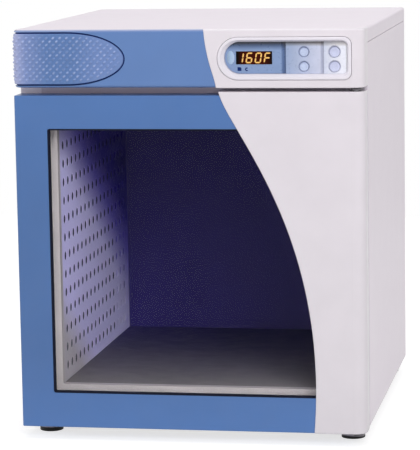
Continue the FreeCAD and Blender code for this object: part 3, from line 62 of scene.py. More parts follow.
# places and lengths in the cabinet's own frame, in millimetres
DOOR_TOP = 608.5
HEADER_TOP = 722.0
FRAME_LIGHT_BAND = 10.0, 30.0         # painted light: the frame turns paler between these depths below the door's top, where it shows in the finger gap
FOOT_CAP_HIGHLIGHT = 6.4                  # height at which a foot's pale cap starts; its paleness is partly a painted highlight
FOOT_CAP_HIGHLIGHT_LOW = 4.0              # the same on the front right foot
KEY_FLANGE = 1.5                # a key's hidden flange reaches this far beyond its cap
DISH_SHIFT = 0.8                # a key's pale dish sits this far right of its middle and below it, so that its rim of painted shade is wider at the upper left
RIM_INSIDE = 1.6                # a key's darker rim, painted shade, starts this far inside the cap's edge
RIM_OUTSIDE = 0.4               # and its fade ends this far outside it
PAD_LEFT = -306.0               # grip pad's left end
PANEL_TOP = 700.0               # upper edge of the films behind the bezel
LENS_START = 84.6               # display window's left edge
STRIPE_START = 163.3            # dark channel at the display film's right end
RAISED_START = 236.3            # raised strip round the right keys
RAISED_BLEND = 1.0              # half the width over which the strip's edge fades

LINER_SHADE_LEAN = 0.45               # a colour band of the liner's painted shade drops by this for each length inward
DUCT_SHADE_LEAN = 0.69                # the same for the ducts
RAISED_SHADOW_SHARE = 0.7              # share of the painted top shadow that the raised strip takes
CREST = "crest"                 # share of a bump's height, kept at each point of the grip pad
SIDEWAYS = (1.0, 0.0, 0.0)
UPWARD = (0.0, 0.0, 1.0)


# ---- Sizes and colours a user would change -----------------------------------------------

def colour(name, description, code):
    """Colour property, kept as an sRGB hex code."""
    return StringProperty(name=name, description=description, default=code, maxlen=7)


def length(name, description, millimetres):
    """Length property in metres, from its size in millimetres."""
    return FloatProperty(name=name, description=description, default=millimetres * MM,
                         min=0.0, unit="LENGTH", subtype="DISTANCE", precision=5)


def light_level(name, description, share):
    """Light level property, where 1 is full light."""
    return FloatProperty(name=name, description=description, default=share, min=0.0,
                         subtype="FACTOR")


class CabinetColours(bpy.types.PropertyGroup):
    """Colours of the visible finishes."""
    header_blue: colour("Header blue", "Moulded blue of the header", "#5E7FB6")
    door_blue: colour("Door blue", "Moulded blue of the door", "#4C72AC")
    pad_blue: colour("Grip pad blue", "Rubber of the grip pad's middle", "#5B7AAE")
    # painted sheen where the pad turns round the corner
    pad_corner_sheen: colour("Grip pad pale blue", "Rubber where it folds round the corner", "#A9AFD6")
    # painted highlight on the tops of the pad's bumps
    pad_crest_highlight: colour("Grip pad crest blue", "Tops of the grip pad's bumps", "#B4C2EA")
    cover_white: colour("Cover white", "White of the two front covers", "#E4DDE4")
    coat_white: colour("Casing white", "Powder coat of the casing", "#E6DCE6")
    frame_grey: colour("Frame grey", "Painted frame round the chamber's mouth", "#9D9296")
    # painted light: the frame is paler where it shows in the finger gap above the door
    frame_painted_light: colour("Frame pale grey", "The same frame above the door", "#CCBFCE")
    # the chamber colours hold painted violet light near the mouth and painted shade at the back and
    # the top
    duct_lavender: colour("Duct lavender", "Enamel of the ducts near the mouth", "#B9AFDD")
    duct_shade_violet: colour("Duct violet", "Enamel of the ducts at the back and top", "#32268A")
    liner_shade_navy: colour("Liner navy", "Enamel of the chamber's back and ceiling", "#221A52")
    display_blue: colour("Display blue", "Film round the display window", "#8299C2")
    stripe_blue: colour("Stripe blue", "Channel at the display film's right end", "#48618C")
    key_blue: colour("Key film blue", "Left end of the film round the keys", "#96A7C9")
    key_pale: colour("Key film pale blue", "The same film at its raised right end", "#EAEBF6")
    figure_amber: colour("Figure amber", "Lit figures of the display", "#E2B062")


class GripSettings(bpy.types.PropertyGroup):
    """Texture of the grip pad."""
    bump_pitch: length("Bump pitch", "Distance between the bumps of one row", 12.0)
    row_pitch: length("Row pitch", "Distance between the rows of bumps", 6.0)
    bump_length: length("Bump length", "Half the length of one bump, along its slant", 3.9)
    bump_width: length("Bump width", "Half the width of one bump at its foot", 2.3)
    bump_height: length("Bump height", "Height of one bump", 2.4)
    edge_radius: length("Edge radius", "Rounding of the pad's edge", 1.2)
    cell: length("Cell", "Width of one cell of the pad's mesh", 0.9)


class StageSettings(bpy.types.PropertyGroup):
    """Studio round the cabinet."""
    floor_size: FloatProperty(name="Floor size", description="Side of the square floor",
                              default=5.0, min=2.0, unit="LENGTH", subtype="DISTANCE")
    ambient: light_level("Ambient", "Level of the even light from all round", 0.2)
    key_level: light_level("Key level", "Share of full light from the main lamp", 0.5)
    front_level: light_level("Front level", "Share of full light from the low front lamp", 0.17)
    top_level: light_level("Top level", "Share of full light from overhead", 0.3)
    fill_level: light_level("Fill level", "Share of full light from the left lamp", 0.28)
    right_share: light_level("Right share", "Share of the left lamp's level on the right", 0.6)
    back_level: light_level("Back level", "Share of full light from the rear lamp", 0.25)


class CabinetSettings(bpy.types.PropertyGroup):
    """Everything that can be set on the cabinet."""
    colours: PointerProperty(type=CabinetColours)
    grip: PointerProperty(type=GripSettings)
    stage: PointerProperty(type=StageSettings)


# ---- Nodes and patterns ------------------------------------------------------------------

def linear(code):
    """Linear colour of an sRGB hex code."""
    parts = [int(code[start:start + 2], 16) / 255 for start in (1, 3, 5)]
    return [part / 12.92 if part <= 0.04045 else ((part + 0.055) / 1.055) ** 2.4
            for part in parts] + [1.0]


def shaded(code, share):
    """The same hue, its sRGB values multiplied by share."""
    parts = [min(255, round(int(code[start:start + 2], 16) * share)) for start in (1, 3, 5)]
    return "#" + "".join(f"{part:02X}" for part in parts)


def repeat(millimetres):
    """Texture scale whose features lie this far apart."""
    return 1.0 / (millimetres * MM)


def add_node(tree, kind, settings=None, links=None):
    """One node with its settings and links.

    A link's source is a node, or a node and its output.
    """
    node = tree.nodes.new(kind)
    for key, value in (settings or {}).items():
        if isinstance(key, str) and hasattr(node, key):
            setattr(node, key, value)
        else:
            node.inputs[key].default_value = value
    for key, source in (links or {}).items():
        origin, output = source if isinstance(source, tuple) else (source, 0)
        tree.links.new(origin.outputs[output], node.inputs[key])
    return node


def new_material(name):
    """Empty material, its node tree and the place of each point in the cabinet's own frame."""
    material = bpy.data.materials.new(name)
    material.use_nodes = True
    tree = material.node_tree
    tree.nodes.clear()
    place = (add_node(tree, "ShaderNodeTexCoord"), "Object")
    return material, tree, place


def finish_with(tree, settings, links):
    """Principled surface of a material."""
    shader = add_node(tree, "ShaderNodeBsdfPrincipled", settings, links)
    add_node(tree, "ShaderNodeOutputMaterial", {}, {"Surface": shader})


def stretched(tree, place, scale):
    """The place, scaled on each axis on its own."""
    return add_node(tree, "ShaderNodeMapping", {"Scale": scale}, {"Vector": place})


def mottled(tree, place, pale, deep, millimetres):
    """Soft patches between two close colours."""
    patches = add_node(tree, "ShaderNodeTexNoise",
                       {"Scale": repeat(millimetres), "Detail": 3.0}, {"Vector": place})
    spread = add_node(tree, "ShaderNodeMapRange", {"From Min": 0.35, "From Max": 0.65},
                      {"Value": patches})
    mix = add_node(tree, "ShaderNodeMix", {"data_type": "RGBA", 6: linear(pale), 7: linear(deep)},
                   {0: spread})
    return mix, 2


def banded(tree, place, direction, stops, millimetres=20.0):
    """Colours that change along one direction. Each stop has its place in mm and its hex code."""
    low, high = stops[0][0], stops[-1][0]
    along = add_node(tree, "ShaderNodeVectorMath", {"operation": "DOT_PRODUCT", 1: direction},
                     {0: place})
    share = add_node(tree, "ShaderNodeMapRange", {"From Min": low * MM, "From Max": high * MM},
                     {"Value": (along, "Value")})
    ramp = add_node(tree, "ShaderNodeValToRGB", {}, {0: share})
    bands = ramp.color_ramp.elements
    bands.remove(bands[1])
    bands[0].color = linear(stops[0][1])
    for spot, code in stops[1:]:
        bands.new((spot - low) / (high - low)).color = linear(code)
    patches = mottled(tree, place, "#FFFFFF", "#FBFBFB", millimetres)
    mix = add_node(tree, "ShaderNodeMix",
                   {"data_type": "RGBA", "blend_type": "MULTIPLY", 0: 1.0}, {6: ramp, 7: patches})
    return mix, 2


def relief(tree, height, depth_mm, under=None):
    """Bump from a height pattern, on top of another bump where one is given."""
    links = {"Height": height}
    if under is not None:
        links["Normal"] = under
    return add_node(tree, "ShaderNodeBump", {"Strength": 1.0, "Distance": depth_mm * MM}, links)


def grain(tree, place, millimetres, depth_mm, under=None):
    """Fine uneven skin."""
    pattern = add_node(tree, "ShaderNodeTexNoise",
                       {"Scale": repeat(millimetres), "Detail": 2.0, "Roughness": 0.55},
                       {"Vector": place})
    return relief(tree, (pattern, "Fac"), depth_mm, under)


def uneven(tree, place, millimetres, low, high):
    """Roughness that drifts between two values."""
    pattern = add_node(tree, "ShaderNodeTexNoise", {"Scale": repeat(millimetres), "Detail": 2.0},
                       {"Vector": place})
    return add_node(tree, "ShaderNodeMapRange",
                    {"From Min": 0.3, "From Max": 0.7, "To Min": low, "To Max": high},
                    {"Value": pattern})


# ---- Materials ---------------------------------------------------------------------------

def tinted(tree, place, code, deep, millimetres, upward):
    """Soft patches of one colour, or colours that change with height where stops are given."""
    if upward is None:
        return mottled(tree, place, code, shaded(code, deep), millimetres)
    return banded(tree, place, UPWARD, upward, millimetres)


def powder_coat(name, code, gloss=0.42, upward=None):
    """Polyester powder coat baked on sheet steel: a satin skin with a faint orange-peel swell."""
    material, tree, place = new_material(name)
    # orange peel swells 2 mm apart and a few hundredths high, so highlights break up softly
    skin = grain(tree, place, 2.2, 0.035)
    finish_with(tree, {"IOR": 1.5, "Coat Weight": 0.08, "Coat Roughness": 0.25},
                {"Base Color": tinted(tree, place, code, 0.994, 60.0, upward),
                 "Roughness": uneven(tree, place, 35.0, gloss - 0.02, gloss + 0.03),
                 "Normal": skin})
    return material


def chamber_enamel_painted_shade(name, lean, stops):
    """Heat-proof enamel on the chamber's sheets: matt, with a fine dry skin that hardly shines.

    Its colour deepens towards the back and the top, as painted shade.
    """
    material, tree, place = new_material(name)
    finish_with(tree, {"IOR": 1.5, "Specular IOR Level": 0.12},
                {"Base Color": banded(tree, place, (0.0, lean, 1.0), stops, 45.0),
                 "Roughness": uneven(tree, place, 30.0, 0.55, 0.68),
                 "Normal": grain(tree, place, 2.0, 0.02)})
    return material


def moulded_abs(name, code, gloss=0.36, deep=0.97, upward=None):
    """Injection-moulded ABS: satin, with a fine spark-eroded grain and soft flow marks."""
    material, tree, place = new_material(name)
    # the real grain is 0.3 mm; it is drawn at 1.3 mm, because a finer one would not show
    skin = grain(tree, place, 1.3, 0.03)
    # flow marks lie 90 mm apart along the moulding and 30 mm apart in height
    flow = grain(tree, stretched(tree, place, (1.0, 1.0, 3.0)), 90.0, 0.25, skin)
    finish_with(tree, {"IOR": 1.53, "Coat Weight": 0.05, "Coat Roughness": 0.3},
                {"Base Color": tinted(tree, place, code, deep, 70.0, upward),
                 "Roughness": uneven(tree, place, 25.0, gloss - 0.05, gloss + 0.06),
                 "Normal": flow})
    return material


def moulded_key(name, node, code, rim_shade_code):
    """Moulded ABS key: a pale satin dish inside a darker rim of painted shade, which is wider at
    its upper left as a painted shadow.
    """
    material, tree, place = new_material(name)
    low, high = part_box(node)
    middle = ((low.x + high.x) / 2 + DISH_SHIFT * MM, 0.0, (low.z + high.z) / 2 - DISH_SHIFT * MM)
    flat = add_node(tree, "ShaderNodeVectorMath", {"operation": "MULTIPLY", 1: (1.0, 0.0, 1.0)},
                    {0: place})
    reach = add_node(tree, "ShaderNodeVectorMath", {"operation": "DISTANCE", 1: middle}, {0: flat})
    edge = (high.x - low.x) / 2 - KEY_FLANGE * MM
    share = add_node(tree, "ShaderNodeMapRange",
                     {"From Min": edge - RIM_INSIDE * MM, "From Max": edge + RIM_OUTSIDE * MM},
                     {"Value": (reach, "Value")})
    tint = add_node(tree, "ShaderNodeMix", {"data_type": "RGBA", 7: linear(rim_shade_code)},
                    {0: share, 6: mottled(tree, place, code, shaded(code, 0.97), 8.0)})
    finish_with(tree, {"IOR": 1.53},
                {"Base Color": (tint, 2), "Roughness": uneven(tree, place, 6.0, 0.25, 0.35),
                 "Normal": grain(tree, place, 1.3, 0.02)})
    return material


def moulded_rubber(name, code, gloss=0.5, sheen=0.08, shine=0.5):
    """Moulded rubber: a soft matt skin with a fine grain."""
    material, tree, place = new_material(name)
    finish_with(tree, {"IOR": 1.5, "Sheen Weight": sheen, "Sheen Roughness": 0.4,
                       "Specular IOR Level": shine},
                {"Base Color": mottled(tree, place, code, shaded(code, 0.93), 14.0),
                 "Roughness": uneven(tree, place, 9.0, gloss - 0.06, gloss + 0.08),
                 "Normal": grain(tree, place, 1.1, 0.04)})
    return material


def capped_foot_with_highlight(name, cap_highlight_from):
    """Dull black glass-filled nylon foot under a plated steel cap and stud; the cap's pale colour
    is the plated steel with a painted highlight.
    """
    material, tree, place = new_material(name)
    stops = ((0.0, "#050405"), (cap_highlight_from, "#0E0C0E"), (cap_highlight_from + 1.2, "#8B858D"),
             (cap_highlight_from + 3.0, "#C9C3CB"))
    finish_with(tree, {"IOR": 1.53, "Specular IOR Level": 0.2},
                {"Base Color": banded(tree, place, UPWARD, stops, 5.0),
                 "Roughness": uneven(tree, place, 9.0, 0.4, 0.55),
                 "Normal": grain(tree, place, 1.3, 0.03)})
    return material


def ribbed_rubber(name, stops, crest_highlight_code, gloss):
    """Moulded rubber. Its bumps are paler than the skin between them, some more than others: a
    painted highlight on their tops.
    """
    material, tree, place = new_material(name)
    crest = add_node(tree, "ShaderNodeAttribute", {"attribute_name": CREST})
    drift = add_node(tree, "ShaderNodeTexNoise", {"Scale": repeat(9.0), "Detail": 1.0},
                     {"Vector": place})
    highlight_strength = add_node(tree, "ShaderNodeMapRange",
                        {"From Min": 0.35, "From Max": 0.65, "To Min": 0.1, "To Max": 0.78},
                        {"Value": drift})
    share = add_node(tree, "ShaderNodeMath", {"operation": "MULTIPLY"},
                     {0: (crest, "Fac"), 1: highlight_strength})
    tint = add_node(tree, "ShaderNodeMix", {"data_type": "RGBA", 7: linear(crest_highlight_code)},
                    {0: share, 6: banded(tree, place, SIDEWAYS, stops, 14.0)})
    finish_with(tree, {"IOR": 1.5, "Sheen Weight": 0.08, "Sheen Roughness": 0.4},
                {"Base Color": (tint, 2),
                 "Roughness": uneven(tree, place, 9.0, gloss - 0.06, gloss + 0.08),
                 "Normal": grain(tree, place, 1.1, 0.04)})
    return material


def brushed_steel(name, code, gloss):
    """Brushed sheet: fine level scratches that draw the light out into streaks."""
    material, tree, place = new_material(name)
    # brush lines are 0.2 mm apart; drawn 0.9 mm apart so that they show, and 120 mm long
    fine, coarse = repeat(0.9), repeat(120.0)
    level_lines, cross_lines = (
        add_node(tree, "ShaderNodeTexNoise", {"Scale": 1.0, "Detail": 3.0},
                 {"Vector": stretched(tree, place, scale)})
        for scale in ((coarse, coarse, fine), (coarse, fine, fine)))
    normal = (add_node(tree, "ShaderNodeNewGeometry"), "Normal")
    facing = add_node(tree, "ShaderNodeSeparateXYZ", {}, {0: normal})
    flat = add_node(tree, "ShaderNodeMath", {"operation": "ABSOLUTE"}, {0: (facing, "Z")})
    lines = add_node(tree, "ShaderNodeMix", {"data_type": "FLOAT"},
                     {0: flat, 2: level_lines, 3: cross_lines})
    colours = {6: linear(shaded(code, 0.9)), 7: linear(shaded(code, 1.06))}
    tint = add_node(tree, "ShaderNodeMix", {"data_type": "RGBA", **colours}, {0: lines})
    rough = add_node(tree, "ShaderNodeMapRange", {"To Min": gloss - 0.08, "To Max": gloss + 0.1},
                     {"Value": lines})
    finish_with(tree, {"Metallic": 1.0},
                {"Base Color": (tint, 2), "Roughness": rough, "Normal": relief(tree, lines, 0.02)})
    return material


def spangled_zinc(name, code):
    """Hot-dip galvanised sheet: zinc crystals 9 mm across, each with its own grey."""
    material, tree, place = new_material(name)
    cells = add_node(tree, "ShaderNodeTexVoronoi", {"Scale": repeat(9.0)}, {"Vector": place})
    grey = add_node(tree, "ShaderNodeSeparateColor", {}, {0: (cells, "Color")})
    tint = add_node(tree, "ShaderNodeMix",
                    {"data_type": "RGBA", 6: linear(shaded(code, 0.82)), 7: linear(code)},
                    {0: grey})
    rough = add_node(tree, "ShaderNodeMapRange", {"To Min": 0.35, "To Max": 0.55},
                     {"Value": grey})
    finish_with(tree, {"Metallic": 0.9},
                {"Base Color": (tint, 2), "Roughness": rough,
                 "Normal": grain(tree, place, 3.0, 0.02)})
    return material


def turned_metal(name, code, gloss=0.3):
    """Machined or drawn metal with a faint grain and a drifting shine."""
    material, tree, place = new_material(name)
    finish_with(tree, {"Metallic": 1.0},
                {"Base Color": mottled(tree, place, code, shaded(code, 0.88), 6.0),
                 "Roughness": uneven(tree, place, 4.0, gloss - 0.08, gloss + 0.12),
                 "Normal": grain(tree, place, 0.9, 0.015)})
    return material


def stone_wool(name, code):
    """Mineral wool: tangled straw-coloured fibres, quite matt."""
    material, tree, place = new_material(name)
    # fibres are hair-thin; drawn 1.2 mm thick and 15 mm long
    fibres = add_node(tree, "ShaderNodeTexNoise", {"Scale": 1.0, "Detail": 5.0, "Distortion": 1.5},
                      {"Vector": stretched(tree, place, (repeat(15.0), repeat(15.0), repeat(1.2)))})
    colours = {6: linear(shaded(code, 0.7)), 7: linear(shaded(code, 1.1))}
    tint = add_node(tree, "ShaderNodeMix", {"data_type": "RGBA", **colours}, {0: fibres})
    finish_with(tree, {"Roughness": 0.95, "IOR": 1.45},
                {"Base Color": (tint, 2), "Normal": relief(tree, fibres, 0.9)})
    return material


def window_glass(name):
    """Clear toughened float glass with a faint green cast; lamps reach what is behind it."""
    material, tree, _ = new_material(name)
    glass = add_node(tree, "ShaderNodeBsdfPrincipled",
                     {"Base Color": linear("#FAFDFC"), "Roughness": 0.0, "IOR": 1.1,
                      "Transmission Weight": 1.0})
    clear = add_node(tree, "ShaderNodeBsdfTransparent", {"Color": linear("#F2F7F5")})
    rays = add_node(tree, "ShaderNodeLightPath")
    mix = add_node(tree, "ShaderNodeMixShader", {},
                   {0: (rays, "Is Shadow Ray"), 1: glass, 2: clear})
    add_node(tree, "ShaderNodeOutputMaterial", {}, {"Surface": mix})
    return material


def lit_figures(name, code, level):
    """Light-emitting figures behind a smoked filter."""
    material, tree, place = new_material(name)
    glow = mottled(tree, place, code, shaded(code, 0.9), 2.0)
    finish_with(tree, {"Roughness": 0.4, "Emission Strength": level},
                {"Base Color": glow, "Emission Color": glow})
    return material


def gloss_acrylic(name, stops, gloss=0.12, shine=0.5):
    """Cast acrylic window: deep colour under a polished face with hairline scuffs."""
    material, tree, place = new_material(name)
    finish_with(tree, {"IOR": 1.49, "Specular IOR Level": shine},
                {"Base Color": banded(tree, place, SIDEWAYS, stops, 12.0),
                 "Roughness": uneven(tree, place, 3.0, gloss - 0.05, gloss + 0.1),
                 "Normal": grain(tree, place, 6.0, 0.01)})
    return material


def printed_film(name, stops, top_shadow_stops, gloss=0.3):
    """Back-printed polyester film over the controls: smooth, with a fine velvet texture.

    A soft dark band along the panel's top is a painted shadow of the bezel's rim, a little paler on
    the raised strip.
    """
    material, tree, place = new_material(name)
    painted_top_shadow = banded(tree, place, UPWARD, top_shadow_stops)
    along = add_node(tree, "ShaderNodeSeparateXYZ", {}, {0: place})
    share = add_node(tree, "ShaderNodeMapRange",
                     {"From Min": (RAISED_START - RAISED_BLEND) * MM,
                      "From Max": (RAISED_START + RAISED_BLEND) * MM,
                      "To Min": 1.0, "To Max": RAISED_SHADOW_SHARE}, {"Value": (along, "X")})
    tint = add_node(tree, "ShaderNodeMix", {"data_type": "RGBA", "blend_type": "MULTIPLY"},
                    {0: share, 6: banded(tree, place, SIDEWAYS, stops), 7: painted_top_shadow})
    finish_with(tree, {"IOR": 1.57, "Coat Weight": 0.12, "Coat Roughness": 0.2},
                {"Base Color": (tint, 2),
                 "Roughness": uneven(tree, place, 6.0, gloss - 0.05, gloss + 0.07),
                 "Normal": grain(tree, place, 1.0, 0.015)})
    return material


def circuit_board(name):
    """Glass-epoxy board: green solder mask over faint copper tracks 2.5 mm apart."""
    material, tree, place = new_material(name)
    tracks = add_node(tree, "ShaderNodeTexBrick",
                      {"Scale": repeat(10.0), "Mortar Size": 0.06, "Color1": linear("#1E5A34"),
                       "Color2": linear("#236B3E"), "Mortar": linear("#2F8A50")},
                      {"Vector": place})
    finish_with(tree, {"IOR": 1.55, "Coat Weight": 0.3, "Coat Roughness": 0.15, "Roughness": 0.4},
                {"Base Color": tracks, "Normal": relief(tree, (tracks, "Fac"), 0.03)})
    return material


def casing_finishes(colours):
    """Casing, frame, screws, brackets and feet."""
    painted_light_from, grey_from = (DOOR_TOP - depth for depth in FRAME_LIGHT_BAND)
    return {
        "white_powder_coat": powder_coat("powder_coated_steel_white", colours.coat_white),
        # the frame's upper strip, seen in the finger gap, is paler as painted light
        "warm_grey_frame": powder_coat("painted_steel_warm_grey", colours.frame_grey, 0.45, (
            (grey_from, colours.frame_grey), (painted_light_from, colours.frame_painted_light))),
        "screw_steel": turned_metal("zinc_plated_screw_steel", "#B2B3B6", 0.28),
        "bracket_steel": powder_coat("painted_bracket_grey", "#5E5A60", 0.45),
        # the feet's pale caps hold a painted highlight
        "foot_plastic": capped_foot_with_highlight("nylon_foot_black", FOOT_CAP_HIGHLIGHT),
        "foot_front_right": capped_foot_with_highlight("nylon_foot_black_low_cap", FOOT_CAP_HIGHLIGHT_LOW),
        "foot_lock_rings": turned_metal("zinc_die_cast_ring", "#98969C", 0.35),
    }


def chamber_finishes(colours):
    """Sheets of the warm chamber, with painted violet light near the mouth and painted shade
    deepening towards the back and the top. The floor's front end is its own warm grey, darkened as
    painted shade.
    """
    lavender, violet, navy = colours.duct_lavender, colours.duct_shade_violet, colours.liner_shade_navy
    return {
        "liner_enamel": chamber_enamel_painted_shade("enamelled_steel_navy", LINER_SHADE_LEAN, (
            (-40.0, "#6E676A"), (120.0, "#36314E"), (215.0, navy), (650.0, shaded(navy, 0.92)))),
        "duct_enamel": chamber_enamel_painted_shade("enamelled_steel_lavender", DUCT_SHADE_LEAN, (
            (-10.0, "#A59CA6"), (75.0, lavender), (325.0, lavender), (425.0, "#6458B6"),
            (500.0, violet), (650.0, shaded(violet, 0.9)))),
    }


def machinery_finishes():
    """Hidden sheets, insulation, fan, heater and electrics."""
    return {
        "stainless_sheet": brushed_steel("stainless_sheet_brushed", "#A6A6A8", 0.4),
        "galvanised_sheet": spangled_zinc("galvanised_steel_spangled", "#A9AEB1"),
        "mineral_wool": stone_wool("mineral_wool_straw", "#BBAA74"),
        "motor_steel": turned_metal("zinc_plated_steel", "#A7A8AB", 0.34),
        "impeller_aluminium": turned_metal("pressed_aluminium", "#C4C6C9", 0.3),
        "black_plastic": moulded_abs("glass_filled_nylon_black", "#1B1B1D", 0.45, 0.85),
        "supply_case": brushed_steel("aluminium_folded_case", "#B9BBBE", 0.38),
        "relay_body": moulded_abs("polycarbonate_relay_black", "#26272B", 0.3, 0.9),
        "cable_sheath": moulded_rubber("silicone_cable_sheath", "#232428", 0.5),
        "board_green": circuit_board("glass_epoxy_board_green"),
    }


def front_finishes(colours):
    """Blue and white mouldings, grip pad and door fittings."""
    blue, white = colours.door_blue, colours.cover_white
    return {
        # painted shade: both mouldings are a little deeper below the door's top rail
        "blue_moulding": moulded_abs("abs_moulded_door_blue", blue, 0.36, 0.97, (
            (30.0, shaded(blue, 1.03)), (150.0, shaded(blue, 0.93)), (450.0, shaded(blue, 0.94)),
            (590.0, blue))),
        "white_moulding": moulded_abs("abs_moulded_cover_white", white, 0.36, 0.985, (
            (60.0, shaded(white, 0.962)), (600.0, shaded(white, 0.988)), (660.0, white))),
        # painted highlight: the header's upper edge is paler, where its rounded top catches the
        # light
        "header_shell": moulded_abs("abs_moulded_header_blue", colours.header_blue, 0.33, 0.97, (
            (HEADER_TOP - 4.8, colours.header_blue), (HEADER_TOP - 1.6, "#8290B9"),
            (HEADER_TOP - 0.2, "#C3C9DD"))),
        # painted sheen: pale at the folded corner, deep blue in the middle, a little paler at the
        # round end
        "grip_rubber": ribbed_rubber("thermoplastic_rubber_blue", (
            (PAD_LEFT, colours.pad_corner_sheen), (PAD_LEFT + 23.0, "#7B8EBF"),
            (PAD_LEFT + 60.0, colours.pad_blue), (PAD_LEFT + 106.0, colours.pad_blue),
            (PAD_LEFT + 150.0, "#6F88BC")), colours.pad_crest_highlight, 0.42),
        # navy bed in the grip pad's groove is painted shade; the status marks use it as print
        "grip_shade_bed_and_marks": moulded_rubber("thermoplastic_rubber_navy", "#15306E", 0.6, 0.0, 0.12),
        "glass": window_glass("toughened_float_glass"),
        "black_rubber": moulded_rubber("epdm_rubber_black", "#0A0D20", 0.65, 0.0, 0.25),
        "bushing_nylon": moulded_abs("nylon_bushing_grey", "#2A2A2E", 0.4),
    }


def control_finishes(colours):
    """Bezel, films, display and keys of the control panel."""
    step_shade, right_rim_shadow = "#ACB0C6", "#A9A8AD"
    finishes = {
        "bezel_plastic": moulded_abs("abs_moulded_bezel_white", "#E6E1EA", 0.32, 0.985),
        # each film's top stops are a painted shadow of the bezel's top rim
        "display_blue": printed_film("polyester_film_display_blue", (
            (STRIPE_START - 1.0, colours.display_blue),
            (STRIPE_START + 2.5, colours.stripe_blue)), (
            (PANEL_TOP - 15.5, "#FFFFFF"), (PANEL_TOP - 7.6, "#8E9BAA"),
            (PANEL_TOP - 3.4, "#3A414C"))),
        # the film brightens to the right; the darker crease before the raised strip is painted
        # shade, and its right end darkens as a painted shadow of the bezel's rim
        "key_panel_blue": printed_film("polyester_film_key_blue", (
            (STRIPE_START + 8.0, colours.key_blue), (RAISED_START - 7.0, "#CBCFE5"),
            (RAISED_START - 3.5, step_shade), (RAISED_START - 0.5, step_shade),
            (RAISED_START + 1.0, "#CFD4E8"), (RAISED_START + 24.0, colours.key_pale),
            (RAISED_START + 37.0, colours.key_pale), (RAISED_START + 40.5, right_rim_shadow)), (
            (PANEL_TOP - 9.0, "#FFFFFF"), (PANEL_TOP - 5.0, "#CAC3B8"),
            (PANEL_TOP - 2.2, "#7B746D"))),
        # painted glow: the figures' light is painted into the middle of the smoked filter
        "smoked_lens": gloss_acrylic("acrylic_smoked_black", (
            (LENS_START + 3.0, "#0A0403"), (LENS_START + 13.0, "#3E0D02"),
            (LENS_START + 48.0, "#3E0D02"), (LENS_START + 62.0, "#120703")), 0.12, 0.06),
        "amber_figures": lit_figures("light_emitting_figures_amber", colours.figure_amber, 0.36),
        "indicator_blue": gloss_acrylic("acrylic_frosted_pale_blue", (
            (LENS_START - 16.0, "#8EA2BA"), (LENS_START - 9.0, "#A6BFDC"),
            (LENS_START - 3.0, "#B4C9E8")), 0.25),
    }
    # each key's rim colour is painted shade
    for side, dish, rim in (("left", "#C2CDEA", "#8490B4"), ("right", "#CCD0EC", "#9094B2")):
        for level in ("upper", "lower"):
            node = f"key_{level}_{side}"
            finishes[node] = moulded_key("abs_" + node, node, dish, rim)
    return finishes


def make_materials(colours):
    """One material for each slot of the record, and a few for single nodes."""
    return {**casing_finishes(colours), **chamber_finishes(colours), **machinery_finishes(),
            **front_finishes(colours), **control_finishes(colours)}


MATERIALS = {}


def paint_nodes(wanted):
    """Give each CAD node of these slots its material."""
    for part in frame["record"]["subparts"]:
        node, slot = part["node"], part["material_slot"]
        if slot not in wanted:
            continue
        material = MATERIALS.get(node, MATERIALS[slot])
        mesh = frame["nodes"][node].data
        mesh.materials.clear()
        mesh.materials.append(material)


# ---- Detailed pieces ---------------------------------------------------------------------

PAD_ROUND = 100.7 * MM          # length of the pad's elliptical end
PAD_CORNER = 14.7 * MM          # radius where the pad folds round the header's left corner
PAD_BACK = 7.6 * MM             # the pad's flat back lies this far below its face
BED_GROW = 2.0 * MM             # the dark bed, painted shade in the pad's groove, reaches this far beyond the pad
BED_FACE = 3.4 * MM             # depth of the bed's face below the pad's
BED_BACK = 7.8 * MM             # depth of the bed's back
BED_EDGE = 0.3 * MM
BED_CELL = 4.0 * MM
EDGE_FACETS = 4                 # facets across a rounded edge
ROUND_ARC = 1.35                # length of half the round end's outline, for each unit of its reach
WELD = 0.01 * MM                # points closer than this are one
BUMP_CROWN = 1.5                # power that rounds a bump off towards its foot
BUMP_FADE = 0.86, 0.97          # bumps die away between these shares of the way to the pad's edge


def smooth_step(low, high, value):
    """0 below low, 1 above high and an even curve between them."""
    share = min(1.0, max(0.0, (value - low) / (high - low)))
    return share * share * (3 - 2 * share)


def pad_path(box, along, depth):
    """Point of the pad's level section: along its face from the back of its side wrap."""
    low, high = box
    side = high.y - low.y - PAD_CORNER
    bend = PAD_CORNER * math.pi / 2
    radius = PAD_CORNER - depth
    if along < side:
        return low.x + depth, high.y - along
    if along < side + bend:
        turn = (along - side) / PAD_CORNER
        return (low.x + PAD_CORNER - radius * math.cos(turn),
                low.y + PAD_CORNER - radius * math.sin(turn))
    return low.x + PAD_CORNER + along - side - bend, low.y + depth


